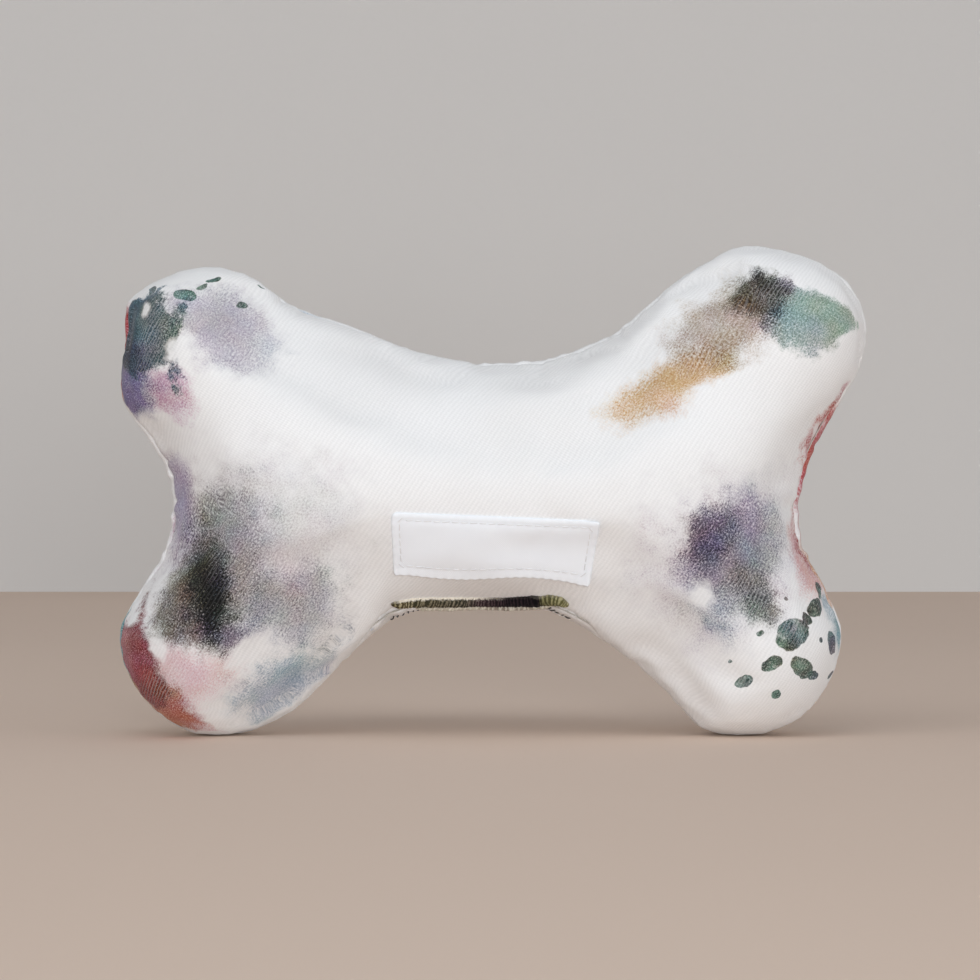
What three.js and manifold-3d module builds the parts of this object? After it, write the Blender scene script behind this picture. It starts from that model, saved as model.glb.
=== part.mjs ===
// Stuffed squeaky dog toy in the shape of a bone, in millimetres, +Z up.
// X runs along the bone, the front with the label faces -Y, and the toy stands on its two lower
// knobs at z = 0, under the middle of its box.
import * as THREE from "three";
import { mergeVertices } from "three/addons/utils/BufferGeometryUtils.js";
import Module from "manifold-3d";

const wasm = await Module();
wasm.setup();

// Driving dimensions of the stuffed toy
const toyLength = 190;
const toyHeight = 124.5;
const waistThickness = 57;
const shoulderThickness = 60;
const knobThickness = 47;
const footCut = 0.5;

// Cloth and seams
const clothWall = 0.8;
const seamGap = 0.3;
const seamAllowance = 7;
const seamThread = 0.5;
const touchGap = 0.3;
const cutOverrun = 1;

// Closing ridge under the waist, where the turning gap was sewn shut
const ridgeLength = 44;
const ridgeHeight = 3.4;
const ridgeLayer = 1.3;
const closingThread = 0.7;
const ridgeMiddleShare = -0.0175;

// Label on the lower half of the waist
const labelLength = 52.8;
const labelHeight = 17;
const labelCloth = 0.5;
const labelCorner = 1.6;
const labelStitchInset = 2;
const labelThread = 0.5;
const labelTiltDegrees = 1.6;
const labelPlaceShares = [0.006, 0.376];

// Squeaker: a flattened bulb on the Y axis, its neck towards +X
const bulbDiameter = 44;
const bulbThickness = 24;
const bulbWall = 0.8;
const neckLength = 12;
const neckDiameter = 12;
const padDiameter = 38;
const squeakerPlaceShares = [-0.022, 0.515];

// Reed unit in the neck
const holderWall = 1.5;
const holderLip = 1.5;
const holderInset = 1;
const reedLength = 8.5;
const reedWidth = 4;
const reedThickness = 0.3;
const wedgeLength = 3;
const airGroove = 2;
const airGrooveDepth = 1.4;

// Outline as seen from the front, clockwise, in shares [of the length from the middle,
// of the height from the floor]. Each knob rises from the waist or the notch before it, goes
// round and falls back. The stuffing is thickest towards the middle of the knob.
const waistTopShares = [[-0.198, 0.838], [-0.109, 0.785], [-0.017, 0.758], [0.076, 0.767]];
const waistBottomShares = [
  [0.143, 0.2], [0.1, 0.25], [0.06, 0.273], [0.0, 0.282], [-0.075, 0.276], [-0.14, 0.235],
];
const knobs = {
  upperRight: {
    side: "right",
    riseShares: [[0.164, 0.82], [0.208, 0.877]],
    roundShares: [
      [0.253, 0.934], [0.334, 0.998], [0.412, 0.975], [0.473, 0.926], [0.499, 0.838], [0.491, 0.756],
    ],
    fallShares: [[0.465, 0.681], [0.426, 0.572]],
    middleShares: [0.362, 0.793],
  },
  lowerRight: {
    side: "right",
    riseShares: [[0.408, 0.47], [0.414, 0.382]],
    roundShares: [
      [0.441, 0.31], [0.466, 0.214], [0.452, 0.122], [0.409, 0.038], [0.345, 0.002], [0.283, 0.011],
    ],
    fallShares: [[0.235, 0.087], [0.189, 0.15]],
    middleShares: [0.335, 0.2],
  },
  lowerLeft: {
    side: "left",
    riseShares: [[-0.192, 0.167], [-0.229, 0.107]],
    roundShares: [
      [-0.267, 0.052], [-0.326, 0.009], [-0.387, 0.002], [-0.446, 0.046], [-0.487, 0.132],
      [-0.499, 0.214],
    ],
    fallShares: [[-0.465, 0.312], [-0.437, 0.382]],
    middleShares: [-0.374, 0.202],
  },
  upperLeft: {
    side: "left",
    riseShares: [[-0.428, 0.464], [-0.434, 0.537]],
    roundShares: [
      [-0.46, 0.603], [-0.496, 0.685], [-0.492, 0.787], [-0.489, 0.885], [-0.44, 0.93],
      [-0.377, 0.955], [-0.318, 0.93],
    ],
    fallShares: [[-0.279, 0.883], [-0.239, 0.857]],
    middleShares: [-0.373, 0.763],
  },
};

// Crest line along the waist that the stuffing rises to, which forks to the middle of each knob
const leftForkShares = [-0.208, 0.505];
const rightForkShares = [0.197, 0.503];

// Steps of the meshes
const waistSteps = 8;
const forkSteps = 3;
const roundSteps = 10;
const riseRings = 5;
const ridgeSteps = 10;
const ropeSides = 5;
const turnSteps = 28;

const place = ([x, z]) => new THREE.Vector2(x * toyLength, z * toyHeight);

// One closed body from lists of points and of faces, each face turned outwards
function bodyFrom(points, faces) {
  const geometry = new THREE.BufferGeometry();
  const numbers = points.flatMap((p) => [p.x, p.y, p.z]);
  geometry.setAttribute("position", new THREE.Float32BufferAttribute(numbers, 3));
  geometry.setIndex(faces.flat());
  return solidOf(geometry);
}

function solidOf(geometry) {
  const bare = geometry.clone();
  for (const name of Object.keys(bare.attributes)) {
    if (name !== "position") bare.deleteAttribute(name);
  }
  const merged = mergeVertices(bare);
  const mesh = new wasm.Mesh({
    numProp: 3,
    vertProperties: new Float32Array(merged.attributes.position.array),
    triVerts: new Uint32Array(merged.index.array),
  });
  return new wasm.Manifold(mesh);
}

function geometryOf(solid) {
  const mesh = solid.getMesh();
  const geometry = new THREE.BufferGeometry();
  geometry.setAttribute("position", new THREE.BufferAttribute(new Float32Array(mesh.vertProperties), 3));
  geometry.setIndex(new THREE.BufferAttribute(new Uint32Array(mesh.triVerts), 1));
  return geometry;
}

// The part of a solid on the side of a plane that the direction points to
const keep = {
  above: (solid, z) => solid.trimByPlane([0, 0, 1], z),
  below: (solid, z) => solid.trimByPlane([0, 0, -1], -z),
  right: (solid, x) => solid.trimByPlane([1, 0, 0], x),
  left: (solid, x) => solid.trimByPlane([-1, 0, 0], -x),
  front: (solid, y) => solid.trimByPlane([0, -1, 0], -y),
  back: (solid, y) => solid.trimByPlane([0, 1, 0], y),
};

// Sampled outline: each sample has its place, its outward normal and the crest point that the
// cloth rises to, so every inset form shares the same steps
function outlineSamples() {
  const controls = [];
  const spans = [];
  const addSpan = (shares, steps, crestAt) => {
    spans.push({ from: controls.length, count: shares.length, steps, crestAt });
    controls.push(...shares.map(place));
  };
  const waistAt = (share) => ({ id: `waist ${Math.round(share * waistSteps)}`, ...crestOnWaist(share) });
  const addKnob = (name) => {
    const { side, riseShares, roundShares, fallShares } = knobs[name];
    const forkAt = (share) => {
      const step = Math.round(share * forkSteps);
      if (step === 0) return waistAt(side === "left" ? 0 : 1);
      return { id: `${name} ${step}`, ...crestOnFork(knobs[name], share) };
    };
    addSpan(riseShares, forkSteps, (share) => forkAt(share));
    addSpan(roundShares, roundSteps, () => forkAt(1));
    addSpan(fallShares, forkSteps, (share) => forkAt(1 - share));
  };
  addSpan(waistTopShares, waistSteps, (share) => waistAt(share));
  addKnob("upperRight");
  addKnob("lowerRight");
  addSpan(waistBottomShares, waistSteps, (share) => waistAt(1 - share));
  addKnob("lowerLeft");
  addKnob("upperLeft");

  const flat = controls.map((p) => new THREE.Vector3(p.x, 0, p.y));
  const curve = new THREE.CatmullRomCurve3(flat, true, "centripetal");
  const samples = [];
  for (const span of spans) {
    for (let step = 0; step < span.steps; step++) {
      const share = step / span.steps;
      const at = (span.from + share * span.count) / controls.length;
      const tangent = curve.getTangent(at);
      samples.push({
        point: curve.getPoint(at),
        outward: new THREE.Vector3(-tangent.z, 0, tangent.x),
        crest: span.crestAt(share),
      });
    }
  }
  return fitToBox(samples);
}

function crestOnWaist(share) {
  const middle = place(leftForkShares).lerp(place(rightForkShares), share);
  const swell = Math.cos(share * Math.PI) ** 2;
  return {
    x: middle.x,
    z: middle.y,
    thickness: THREE.MathUtils.lerp(waistThickness, shoulderThickness, swell),
  };
}

function crestOnFork(knob, share) {
  const fork = place(knob.side === "left" ? leftForkShares : rightForkShares);
  const middle = fork.lerp(place(knob.middleShares), share);
  const taper = THREE.MathUtils.smoothstep(share, 0, 1);
  return {
    x: middle.x,
    z: middle.y,
    thickness: THREE.MathUtils.lerp(shoulderThickness, knobThickness, taper),
  };
}

// Stretches the sampled outline to the toy's length and, with the foot cut, its height
function fitToBox(samples) {
  const box = new THREE.Box3().setFromPoints(samples.map((s) => s.point));
  const fitX = (x) => THREE.MathUtils.mapLinear(x, box.min.x, box.max.x, -toyLength / 2, toyLength / 2);
  const fitZ = (z) => THREE.MathUtils.mapLinear(z, box.min.z, box.max.z, -footCut, toyHeight);
  return samples.map((s) => ({
    ...s,
    point: new THREE.Vector3(fitX(s.point.x), 0, fitZ(s.point.z)),
    crest: { ...s.crest, x: fitX(s.crest.x), z: fitZ(s.crest.z) },
  }));
}

const ring = outlineSamples();

// A sample's place moved in from the outline by a distance square to it, towards its crest
function insetPoint(sample, inset) {
  const toCrest = new THREE.Vector3(sample.crest.x, 0, sample.crest.z).sub(sample.point).normalize();
  const square = -toCrest.dot(sample.outward);
  return sample.point.clone().addScaledVector(toCrest, inset / square);
}

// The stuffed form at an inset from the outer cloth. A slot of that half thickness, between the
// outline and its reach, leaves room for the seam allowance.
function boneForm(inset, slot = null) {
  const columns = ring.map((sample) => {
    const edge = insetPoint(sample, inset);
    const crest = new THREE.Vector3(sample.crest.x, 0, sample.crest.z);
    const half = sample.crest.thickness / 2 - inset;
    const start = slot ? Math.asin(slot.half / half) : 0;
    const rise = [];
    for (let step = 0; step < riseRings; step++) {
      const angle = THREE.MathUtils.lerp(start, Math.PI / 2, step / riseRings);
      const level = edge.clone().lerp(crest, 1 - Math.cos(angle));
      rise.push({ x: level.x, z: level.z, y: half * Math.sin(angle) });
    }
    const front = rise.map((p) => new THREE.Vector3(p.x, -p.y, p.z)).reverse();
    const back = rise.map((p) => new THREE.Vector3(p.x, p.y, p.z));
    if (!slot) return [...front, ...back.slice(1)];
    const tip = insetPoint(sample, slot.reach);
    const frontTip = new THREE.Vector3(tip.x, -slot.half, tip.z);
    const backTip = new THREE.Vector3(tip.x, slot.half, tip.z);
    return [...front, frontTip, backTip, ...back];
  });
  return closeOnCrest(columns, inset);
}

function closeOnCrest(columns, inset) {
  const rings = columns[0].length;
  const points = columns.flat();
  const crestIndex = (sample, sign) => {
    const key = `${sample.crest.id} ${sign}`;
    if (!crestIndex.known.has(key)) {
      crestIndex.known.set(key, points.length);
      const y = sign * (sample.crest.thickness / 2 - inset);
      points.push(new THREE.Vector3(sample.crest.x, y, sample.crest.z));
    }
    return crestIndex.known.get(key);
  };
  crestIndex.known = new Map();
  const faces = [];
  const addQuad = (a, b, c, d) => {
    if (a !== b) faces.push([a, b, c]);
    if (c !== d) faces.push([a, c, d]);
  };
  ring.forEach((sample, i) => {
    const j = (i + 1) % ring.length;
    const [here, next] = [i * rings, j * rings];
    addQuad(crestIndex(sample, -1), crestIndex(ring[j], -1), next, here);
    for (let r = 0; r < rings - 1; r++) addQuad(here + r, next + r, next + r + 1, here + r + 1);
    const last = rings - 1;
    addQuad(here + last, next + last, crestIndex(ring[j], 1), crestIndex(sample, 1));
  });
  return bodyFrom(points, faces);
}

// A closed loop of thread through the given points, round in section
function threadLoop(points, up, thickness) {
  const loop = points.map((point, i) => {
    const before = points[(i + points.length - 1) % points.length];
    const after = points[(i + 1) % points.length];
    const along = after.clone().sub(before).normalize();
    const side = new THREE.Vector3().crossVectors(up, along).normalize();
    const rise = new THREE.Vector3().crossVectors(along, side);
    return Array.from({ length: ropeSides }, (_, k) => {
      const angle = (2 * Math.PI * k) / ropeSides;
      return point
        .clone()
        .addScaledVector(side, (thickness / 2) * Math.cos(angle))
        .addScaledVector(rise, (thickness / 2) * Math.sin(angle));
    });
  });
  const faces = [];
  loop.forEach((_, i) => {
    const j = (i + 1) % loop.length;
    for (let k = 0; k < ropeSides; k++) {
      const m = (k + 1) % ropeSides;
      const [a, b, c, d] = [i * ropeSides + k, j * ropeSides + k, j * ropeSides + m, i * ropeSides + m];
      faces.push([a, c, b], [a, d, c]);
    }
  });
  return bodyFrom(loop.flat(), faces);
}

// An outline in the XZ plane, extruded along Y between two depths
function plateAlongY(shape, fromY, toY) {
  const geometry = new THREE.ExtrudeGeometry(shape, { depth: toY - fromY, bevelEnabled: false });
  geometry.rotateX(Math.PI / 2);
  geometry.translate(0, toY, 0);
  return solidOf(geometry);
}

function roundedRectangle(length, height, corner) {
  const [x, y] = [length / 2, height / 2];
  const shape = new THREE.Shape();
  shape.moveTo(-x + corner, -y);
  shape.lineTo(x - corner, -y);
  shape.quadraticCurveTo(x, -y, x, -y + corner);
  shape.lineTo(x, y - corner);
  shape.quadraticCurveTo(x, y, x - corner, y);
  shape.lineTo(-x + corner, y);
  shape.quadraticCurveTo(-x, y, -x, y - corner);
  shape.lineTo(-x, -y + corner);
  shape.quadraticCurveTo(-x, -y, -x + corner, -y);
  return shape;
}

// Cover
const outerForm = keep.above(boneForm(0), 0);
const clothHalf = seamGap / 2 + clothWall;
const innerSlot = { half: clothHalf, reach: seamAllowance };
const innerForm = keep.above(boneForm(clothWall, innerSlot), clothWall);
const cover = outerForm.subtract(innerForm);

// Points along the closing ridge, at a drop below the body
const ridgeMiddle = ridgeMiddleShare * toyLength;

function ridgeCurve(halfLength, drop) {
  const points = [];
  for (let step = 0; step <= ridgeSteps; step++) {
    const x = ridgeMiddle + THREE.MathUtils.lerp(halfLength, -halfLength, step / ridgeSteps);
    points.push(new THREE.Vector2(x, bottomOfWaist(x) - drop));
  }
  return points;
}

function bottomOfWaist(x) {
  const low = ring.filter((s) => s.crest.id.startsWith("waist") && s.point.z < s.crest.z);
  for (let i = 0; i < low.length - 1; i++) {
    const [a, b] = [low[i].point, low[i + 1].point];
    if (x <= a.x && x >= b.x) return THREE.MathUtils.mapLinear(x, a.x, b.x, a.z, b.z);
  }
  return low[0].point.z;
}

function ridge(side) {
  const tip = ridgeCurve(ridgeLength / 2, ridgeHeight);
  const root = ridgeCurve(ridgeLength / 2, -clothWall).reverse();
  const shape = new THREE.Shape([...tip, ...root]);
  const [near, far] = [seamGap / 2, seamGap / 2 + ridgeLayer];
  return side === "front" ? plateAlongY(shape, -far, -near) : plateAlongY(shape, near, far);
}

const frontPanel = keep.front(cover, -seamGap / 2).add(ridge("front"));
const backPanel = keep.back(cover, seamGap / 2).add(ridge("back"));

// Lockstitch round the outline: one thread lies on each seam allowance, inside the cover
function seamLoop(sign) {
  const inset = clothWall + touchGap + seamThread / 2;
  const y = sign * (clothHalf + touchGap + seamThread / 2);
  const points = ring.map((sample) => insetPoint(sample, inset).setY(y));
  const rounded = points.map((p) => p.setZ(Math.max(p.z, clothWall + touchGap + seamThread / 2)));
  return threadLoop(rounded, new THREE.Vector3(0, 1, 0), seamThread);
}

// Closing thread: a loop that runs along both faces of the ridge, round its ends
function closingLoop() {
  const y = seamGap / 2 + ridgeLayer + touchGap + closingThread / 2;
  const reach = ridgeLength / 2 + touchGap + closingThread / 2;
  const run = ridgeCurve(reach, ridgeHeight / 2);
  const front = run.map((p) => new THREE.Vector3(p.x, -y, p.y));
  const back = run.map((p) => new THREE.Vector3(p.x, y, p.y)).reverse();
  return threadLoop([...front, ...back], new THREE.Vector3(0, 0, 1), closingThread);
}

// Label and its top-stitching, lying on the front panel
const fullDepth = Math.max(waistThickness, shoulderThickness, knobThickness) / 2;
const labelMiddle = place(labelPlaceShares);
const labelTilt = -THREE.MathUtils.degToRad(labelTiltDegrees);

function laidOnFront(shape, from, to) {
  const layer = boneForm(-to).subtract(boneForm(-from));
  const depth = fullDepth + to + cutOverrun;
  const geometry = new THREE.ExtrudeGeometry(shape, { depth, bevelEnabled: false, curveSegments: 3 });
  geometry.rotateX(Math.PI / 2);
  geometry.rotateY(-labelTilt);
  geometry.translate(labelMiddle.x, 0, labelMiddle.y);
  return layer.intersect(solidOf(geometry));
}

const label = laidOnFront(
  roundedRectangle(labelLength, labelHeight, labelCorner),
  touchGap,
  touchGap + labelCloth,
);

function labelStitching() {
  const inset = 2 * labelStitchInset;
  const outer = roundedRectangle(labelLength - inset, labelHeight - inset, labelCorner);
  const less = inset + 2 * labelThread;
  const inner = roundedRectangle(labelLength - less, labelHeight - less, labelCorner - labelThread);
  outer.holes.push(new THREE.Path(inner.getPoints(3).reverse()));
  const from = touchGap + labelCloth + touchGap;
  return laidOnFront(outer, from, from + labelThread);
}

// Squeaker
const squeaker = place(squeakerPlaceShares);
const bulbRadius = bulbDiameter / 2;
const bulbHalf = bulbThickness / 2;

// Flattened bulb turned about Y: flat faces with full round shoulders
function bulbBody(inset) {
  const shoulder = bulbHalf - inset;
  const flat = bulbRadius - bulbHalf;
  const profile = [new THREE.Vector2(0, -shoulder)];
  for (let step = 0; step <= riseRings * 2; step++) {
    const angle = THREE.MathUtils.lerp(-Math.PI / 2, Math.PI / 2, step / (riseRings * 2));
    profile.push(new THREE.Vector2(flat + shoulder * Math.cos(angle), shoulder * Math.sin(angle)));
  }
  profile.push(new THREE.Vector2(0, shoulder));
  const geometry = new THREE.LatheGeometry(profile, turnSteps);
  geometry.translate(squeaker.x, 0, squeaker.y);
  return solidOf(geometry);
}

// A rod along Y through the squeaker
function rodAlongY(diameter, fromY, toY) {
  const geometry = new THREE.CylinderGeometry(diameter / 2, diameter / 2, toY - fromY, turnSteps);
  geometry.translate(squeaker.x, (fromY + toY) / 2, squeaker.y);
  return solidOf(geometry);
}

// A rod along X in line with the neck
function rodAlongX(diameter, fromX, toX) {
  const geometry = new THREE.CylinderGeometry(diameter / 2, diameter / 2, toX - fromX, turnSteps);
  geometry.rotateZ(-Math.PI / 2);
  geometry.translate((fromX + toX) / 2, 0, squeaker.y);
  return solidOf(geometry);
}

const neckStart = squeaker.x + bulbRadius - bulbHalf;
const neckEnd = squeaker.x + bulbRadius + neckLength;
const neckBore = neckDiameter - 2 * bulbWall;
const bulb = bulbBody(0)
  .add(rodAlongX(neckDiameter, neckStart, neckEnd))
  .subtract(bulbBody(bulbWall))
  .subtract(rodAlongX(neckBore, neckStart, neckEnd + cutOverrun));

const holderDiameter = neckBore - 2 * touchGap;
const holderBore = holderDiameter - 2 * holderWall;
const holderStart = squeaker.x + bulbRadius + holderInset;
const lipStart = neckEnd + touchGap;
const holderEnd = lipStart + holderLip;
const holder = rodAlongX(holderDiameter, holderStart, holderEnd)
  .add(rodAlongX(neckDiameter, lipStart, holderEnd))
  .subtract(rodAlongX(holderBore, holderStart - cutOverrun, holderEnd + cutOverrun));

// Reed between its seat and its wedge, the root at the outer end of the neck
const plugDiameter = holderBore - 2 * touchGap;
const reedRoot = neckEnd - touchGap;
const reedTip = reedRoot - reedLength;
const seatEnd = reedTip - touchGap;
const seatTop = squeaker.y - reedThickness / 2 - touchGap;
const wedgeBottom = squeaker.y + reedThickness / 2 + touchGap;

function boxBetween(low, high) {
  const size = new THREE.Vector3().subVectors(high, low);
  const geometry = new THREE.BoxGeometry(size.x, size.y, size.z);
  const middle = low.clone().add(high).multiplyScalar(1 / 2);
  geometry.translate(middle.x, middle.y, middle.z);
  return solidOf(geometry);
}

const groove = boxBetween(
  new THREE.Vector3(seatEnd - cutOverrun, -airGroove / 2, seatTop - airGrooveDepth),
  new THREE.Vector3(reedRoot - wedgeLength, airGroove / 2, seatTop + cutOverrun),
);
const seat = keep.below(rodAlongX(plugDiameter, seatEnd, reedRoot), seatTop).subtract(groove);
const wedge = keep.above(rodAlongX(plugDiameter, reedRoot - wedgeLength, reedRoot), wedgeBottom);
const reed = boxBetween(
  new THREE.Vector3(reedTip, -reedWidth / 2, squeaker.y - reedThickness / 2),
  new THREE.Vector3(reedRoot, reedWidth / 2, squeaker.y + reedThickness / 2),
);

// Stuffing, one form cut into its handfuls
const fillInset = clothWall + touchGap;
const fillSlot = {
  half: clothHalf + touchGap + seamThread + touchGap,
  reach: seamAllowance + touchGap,
};
const fill = keep.above(boneForm(fillInset, fillSlot), fillInset);
const leftSplit = place(leftForkShares).x;
const rightSplit = place(rightForkShares).x;
const leftLevel = place(leftForkShares).y;
const rightLevel = place(rightForkShares).y;

const bulbRoom = rodAlongY(bulbDiameter + 2 * touchGap, -bulbHalf - touchGap, bulbHalf + touchGap);
const neckRoom = rodAlongX(neckDiameter + 2 * touchGap, neckStart, holderEnd + touchGap);
const padRoom = rodAlongY(padDiameter + 2 * touchGap, -fullDepth, fullDepth);
const neckFill = fill.subtract(neckRoom);
const leftFill = keep.left(neckFill, leftSplit);
const rightFill = keep.right(neckFill, rightSplit);
const knobFills = {
  stuffing_upper_left: keep.above(leftFill, leftLevel + touchGap / 2),
  stuffing_lower_left: keep.below(leftFill, leftLevel - touchGap / 2),
  stuffing_upper_right: keep.above(rightFill, rightLevel + touchGap / 2),
  stuffing_lower_right: keep.below(rightFill, rightLevel - touchGap / 2),
};

const waistBlock = keep.right(keep.left(neckFill, rightSplit - touchGap), leftSplit + touchGap);
const waistFill = waistBlock.subtract(padRoom).subtract(bulbRoom);
const frontPad = fill.intersect(rodAlongY(padDiameter, -fullDepth, -bulbHalf - touchGap));
const backPad = fill.intersect(rodAlongY(padDiameter, bulbHalf + touchGap, fullDepth));

// Finishes
const twill = { color: 0xe9e4da, roughness: 0.9 };
const labelTape = { color: 0xf4f2ee, roughness: 0.85 };
const paleThread = { color: 0xc9c6bf, roughness: 0.7 };
const darkThread = { color: 0x1b1a1c, roughness: 0.7 };
const fibre = { color: 0xf7f6f2, roughness: 1 };
const milkyPlastic = { color: 0xe8e9e4, roughness: 0.4 };
const bluePlastic = { color: 0xdfe3e6, roughness: 0.35 };
const reedFilm = { color: 0xd8dccf, roughness: 0.2 };

const group = new THREE.Group();

function addPiece(name, solid, finish) {
  const material = new THREE.MeshStandardMaterial({ ...finish, metalness: 0, flatShading: true });
  const mesh = new THREE.Mesh(geometryOf(solid), material);
  mesh.name = name;
  group.add(mesh);
}

addPiece("front_panel", frontPanel, twill);
addPiece("back_panel", backPanel, twill);
addPiece("seam_needle_thread", seamLoop(-1), paleThread);
addPiece("seam_bobbin_thread", seamLoop(1), paleThread);
addPiece("closing_thread", closingLoop(), darkThread);
addPiece("label", label, labelTape);
addPiece("label_thread", labelStitching(), paleThread);
for (const [name, solid] of Object.entries(knobFills)) addPiece(name, solid, fibre);
addPiece("stuffing_waist", waistFill, fibre);
addPiece("stuffing_front_pad", frontPad, fibre);
addPiece("stuffing_back_pad", backPad, fibre);
addPiece("squeaker_bulb", bulb, milkyPlastic);
addPiece("reed_holder", holder, bluePlastic);
addPiece("reed_seat", seat, bluePlastic);
addPiece("squeaker_reed", reed, reedFilm);
addPiece("reed_wedge", wedge, bluePlastic);

export default group;
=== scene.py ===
"""Looks of a stuffed squeaky dog toy in the shape of a bone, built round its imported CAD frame.

X runs along the bone, the front with the label faces -Y, and the toy stands on its two lower
knobs at z = 0. Everything is in metres.
"""

import math
from collections import namedtuple
from contextlib import contextmanager
from functools import partial

import bmesh
import bpy
import numpy as np
from bpy.props import FloatProperty, FloatVectorProperty, IntProperty, PointerProperty
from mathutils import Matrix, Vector, noise
from mathutils.bvhtree import BVHTree
from mathutils.kdtree import KDTree


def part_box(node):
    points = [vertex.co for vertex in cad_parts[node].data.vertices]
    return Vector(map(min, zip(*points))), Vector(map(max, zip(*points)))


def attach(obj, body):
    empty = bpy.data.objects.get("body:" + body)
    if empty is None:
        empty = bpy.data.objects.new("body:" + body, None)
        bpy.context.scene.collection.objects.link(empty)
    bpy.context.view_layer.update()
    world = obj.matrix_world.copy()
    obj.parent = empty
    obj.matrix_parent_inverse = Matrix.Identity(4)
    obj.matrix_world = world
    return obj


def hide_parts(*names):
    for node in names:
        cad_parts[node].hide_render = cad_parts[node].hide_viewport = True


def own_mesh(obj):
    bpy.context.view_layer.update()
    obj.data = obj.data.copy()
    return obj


bl_info = {
    "name": "Stuffed squeaky bone",
    "version": (1, 0, 0),
    "blender": (4, 5, 0),
    "location": "View3D > Sidebar > Dog toy",
    "description": "Builds the cloth, label, stitching, stuffing and squeaker of a bone-shaped dog toy",
    "category": "Object",
}

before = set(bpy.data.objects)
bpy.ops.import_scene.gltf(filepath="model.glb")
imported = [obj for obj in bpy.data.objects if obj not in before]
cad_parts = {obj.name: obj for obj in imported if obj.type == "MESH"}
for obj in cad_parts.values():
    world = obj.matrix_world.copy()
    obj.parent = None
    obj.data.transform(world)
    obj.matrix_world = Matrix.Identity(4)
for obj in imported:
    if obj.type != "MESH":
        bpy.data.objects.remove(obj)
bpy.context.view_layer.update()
MM = 0.001
# What one operator leaves for the next: the smooth form of the cover and its seam
BUILT = {}
# Share of its thickness that the toy keeps when it is squeezed
FLATTENED = 0.73
# How far each panel's cloth lies from the seam between the two
HALF_GAP = 0.13 * MM
# Up to this height the cloth is pressed flat on the floor
FOOT = 0.5 * MM
# How far ahead of the toy a line from the front starts
AHEAD = 0.1
# Colour that leaves what it is multiplied with as it is, and the even level of a noise
WHITE = (1.0, 1.0, 1.0, 1.0)
EVEN = (0.5, 0.5, 0.5)
# Kinds of node that are used often
MATH, VECTOR, JOIN_XYZ = "ShaderNodeMath", "ShaderNodeVectorMath", "ShaderNodeCombineXYZ"
NOISE, RANGE, MIX = "ShaderNodeTexNoise", "ShaderNodeMapRange", "ShaderNodeMix"
BUMP, PRINCIPLED = "ShaderNodeBump", "ShaderNodeBsdfPrincipled"
OUTPUT, INSTANCES = "ShaderNodeOutputMaterial", "GeometryNodeInstanceOnPoints"
ALIGN, TURN = "FunctionNodeAlignRotationToVector", "FunctionNodeRotateRotation"
RANDOM = "FunctionNodeRandomValue"


# Outline seen from the front, clockwise, as shares of the length from the middle and of the
# height from the floor, the same table as the CAD part has. Each knob has its side, the places
# up to it, round it and away from it, and the middle of its crest.
Knob = namedtuple("Knob", "side rise crown fall middle")
WAIST_TOP = [(-0.198, 0.838), (-0.109, 0.785), (-0.017, 0.758), (0.076, 0.767)]
WAIST_BOTTOM = [
    (0.14, 0.203), (0.095, 0.243), (0.062, 0.2585), (0.0, 0.2605), (-0.075, 0.2605),
    (-0.131, 0.241),
]
KNOBS = {
    "upper_right": Knob(
        "right", [(0.164, 0.82), (0.208, 0.877)],
        [(0.253, 0.934), (0.334, 0.998), (0.412, 0.975), (0.473, 0.926), (0.499, 0.838),
         (0.491, 0.756)],
        [(0.465, 0.681), (0.426, 0.572)], (0.362, 0.793),
    ),
    "lower_right": Knob(
        "right", [(0.408, 0.47), (0.414, 0.382)],
        [(0.441, 0.31), (0.466, 0.214), (0.452, 0.122), (0.409, 0.038), (0.345, 0.002),
         (0.283, 0.011)],
        [(0.235, 0.087), (0.189, 0.15)], (0.335, 0.2),
    ),
    "lower_left": Knob(
        "left", [(-0.192, 0.167), (-0.229, 0.107)],
        [(-0.267, 0.052), (-0.326, 0.009), (-0.387, 0.002), (-0.446, 0.046), (-0.487, 0.132),
         (-0.499, 0.214)],
        [(-0.465, 0.312), (-0.437, 0.382)], (-0.374, 0.202),
    ),
    "upper_left": Knob(
        "left", [(-0.428, 0.464), (-0.434, 0.537)],
        [(-0.46, 0.603), (-0.496, 0.685), (-0.492, 0.787), (-0.489, 0.885), (-0.44, 0.93),
         (-0.377, 0.955), (-0.318, 0.93)],
        [(-0.279, 0.883), (-0.239, 0.857)], (-0.373, 0.763),
    ),
}
# Where the crest of the waist parts to the two knobs of each side
FORKS = {"left": (-0.208, 0.505), "right": (0.197, 0.503)}


# Settings

def distance(name, description, default):
    """A length in metres."""
    return FloatProperty(name=name, description=description, default=default,
                         subtype="DISTANCE", unit="LENGTH", precision=5)


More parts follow.
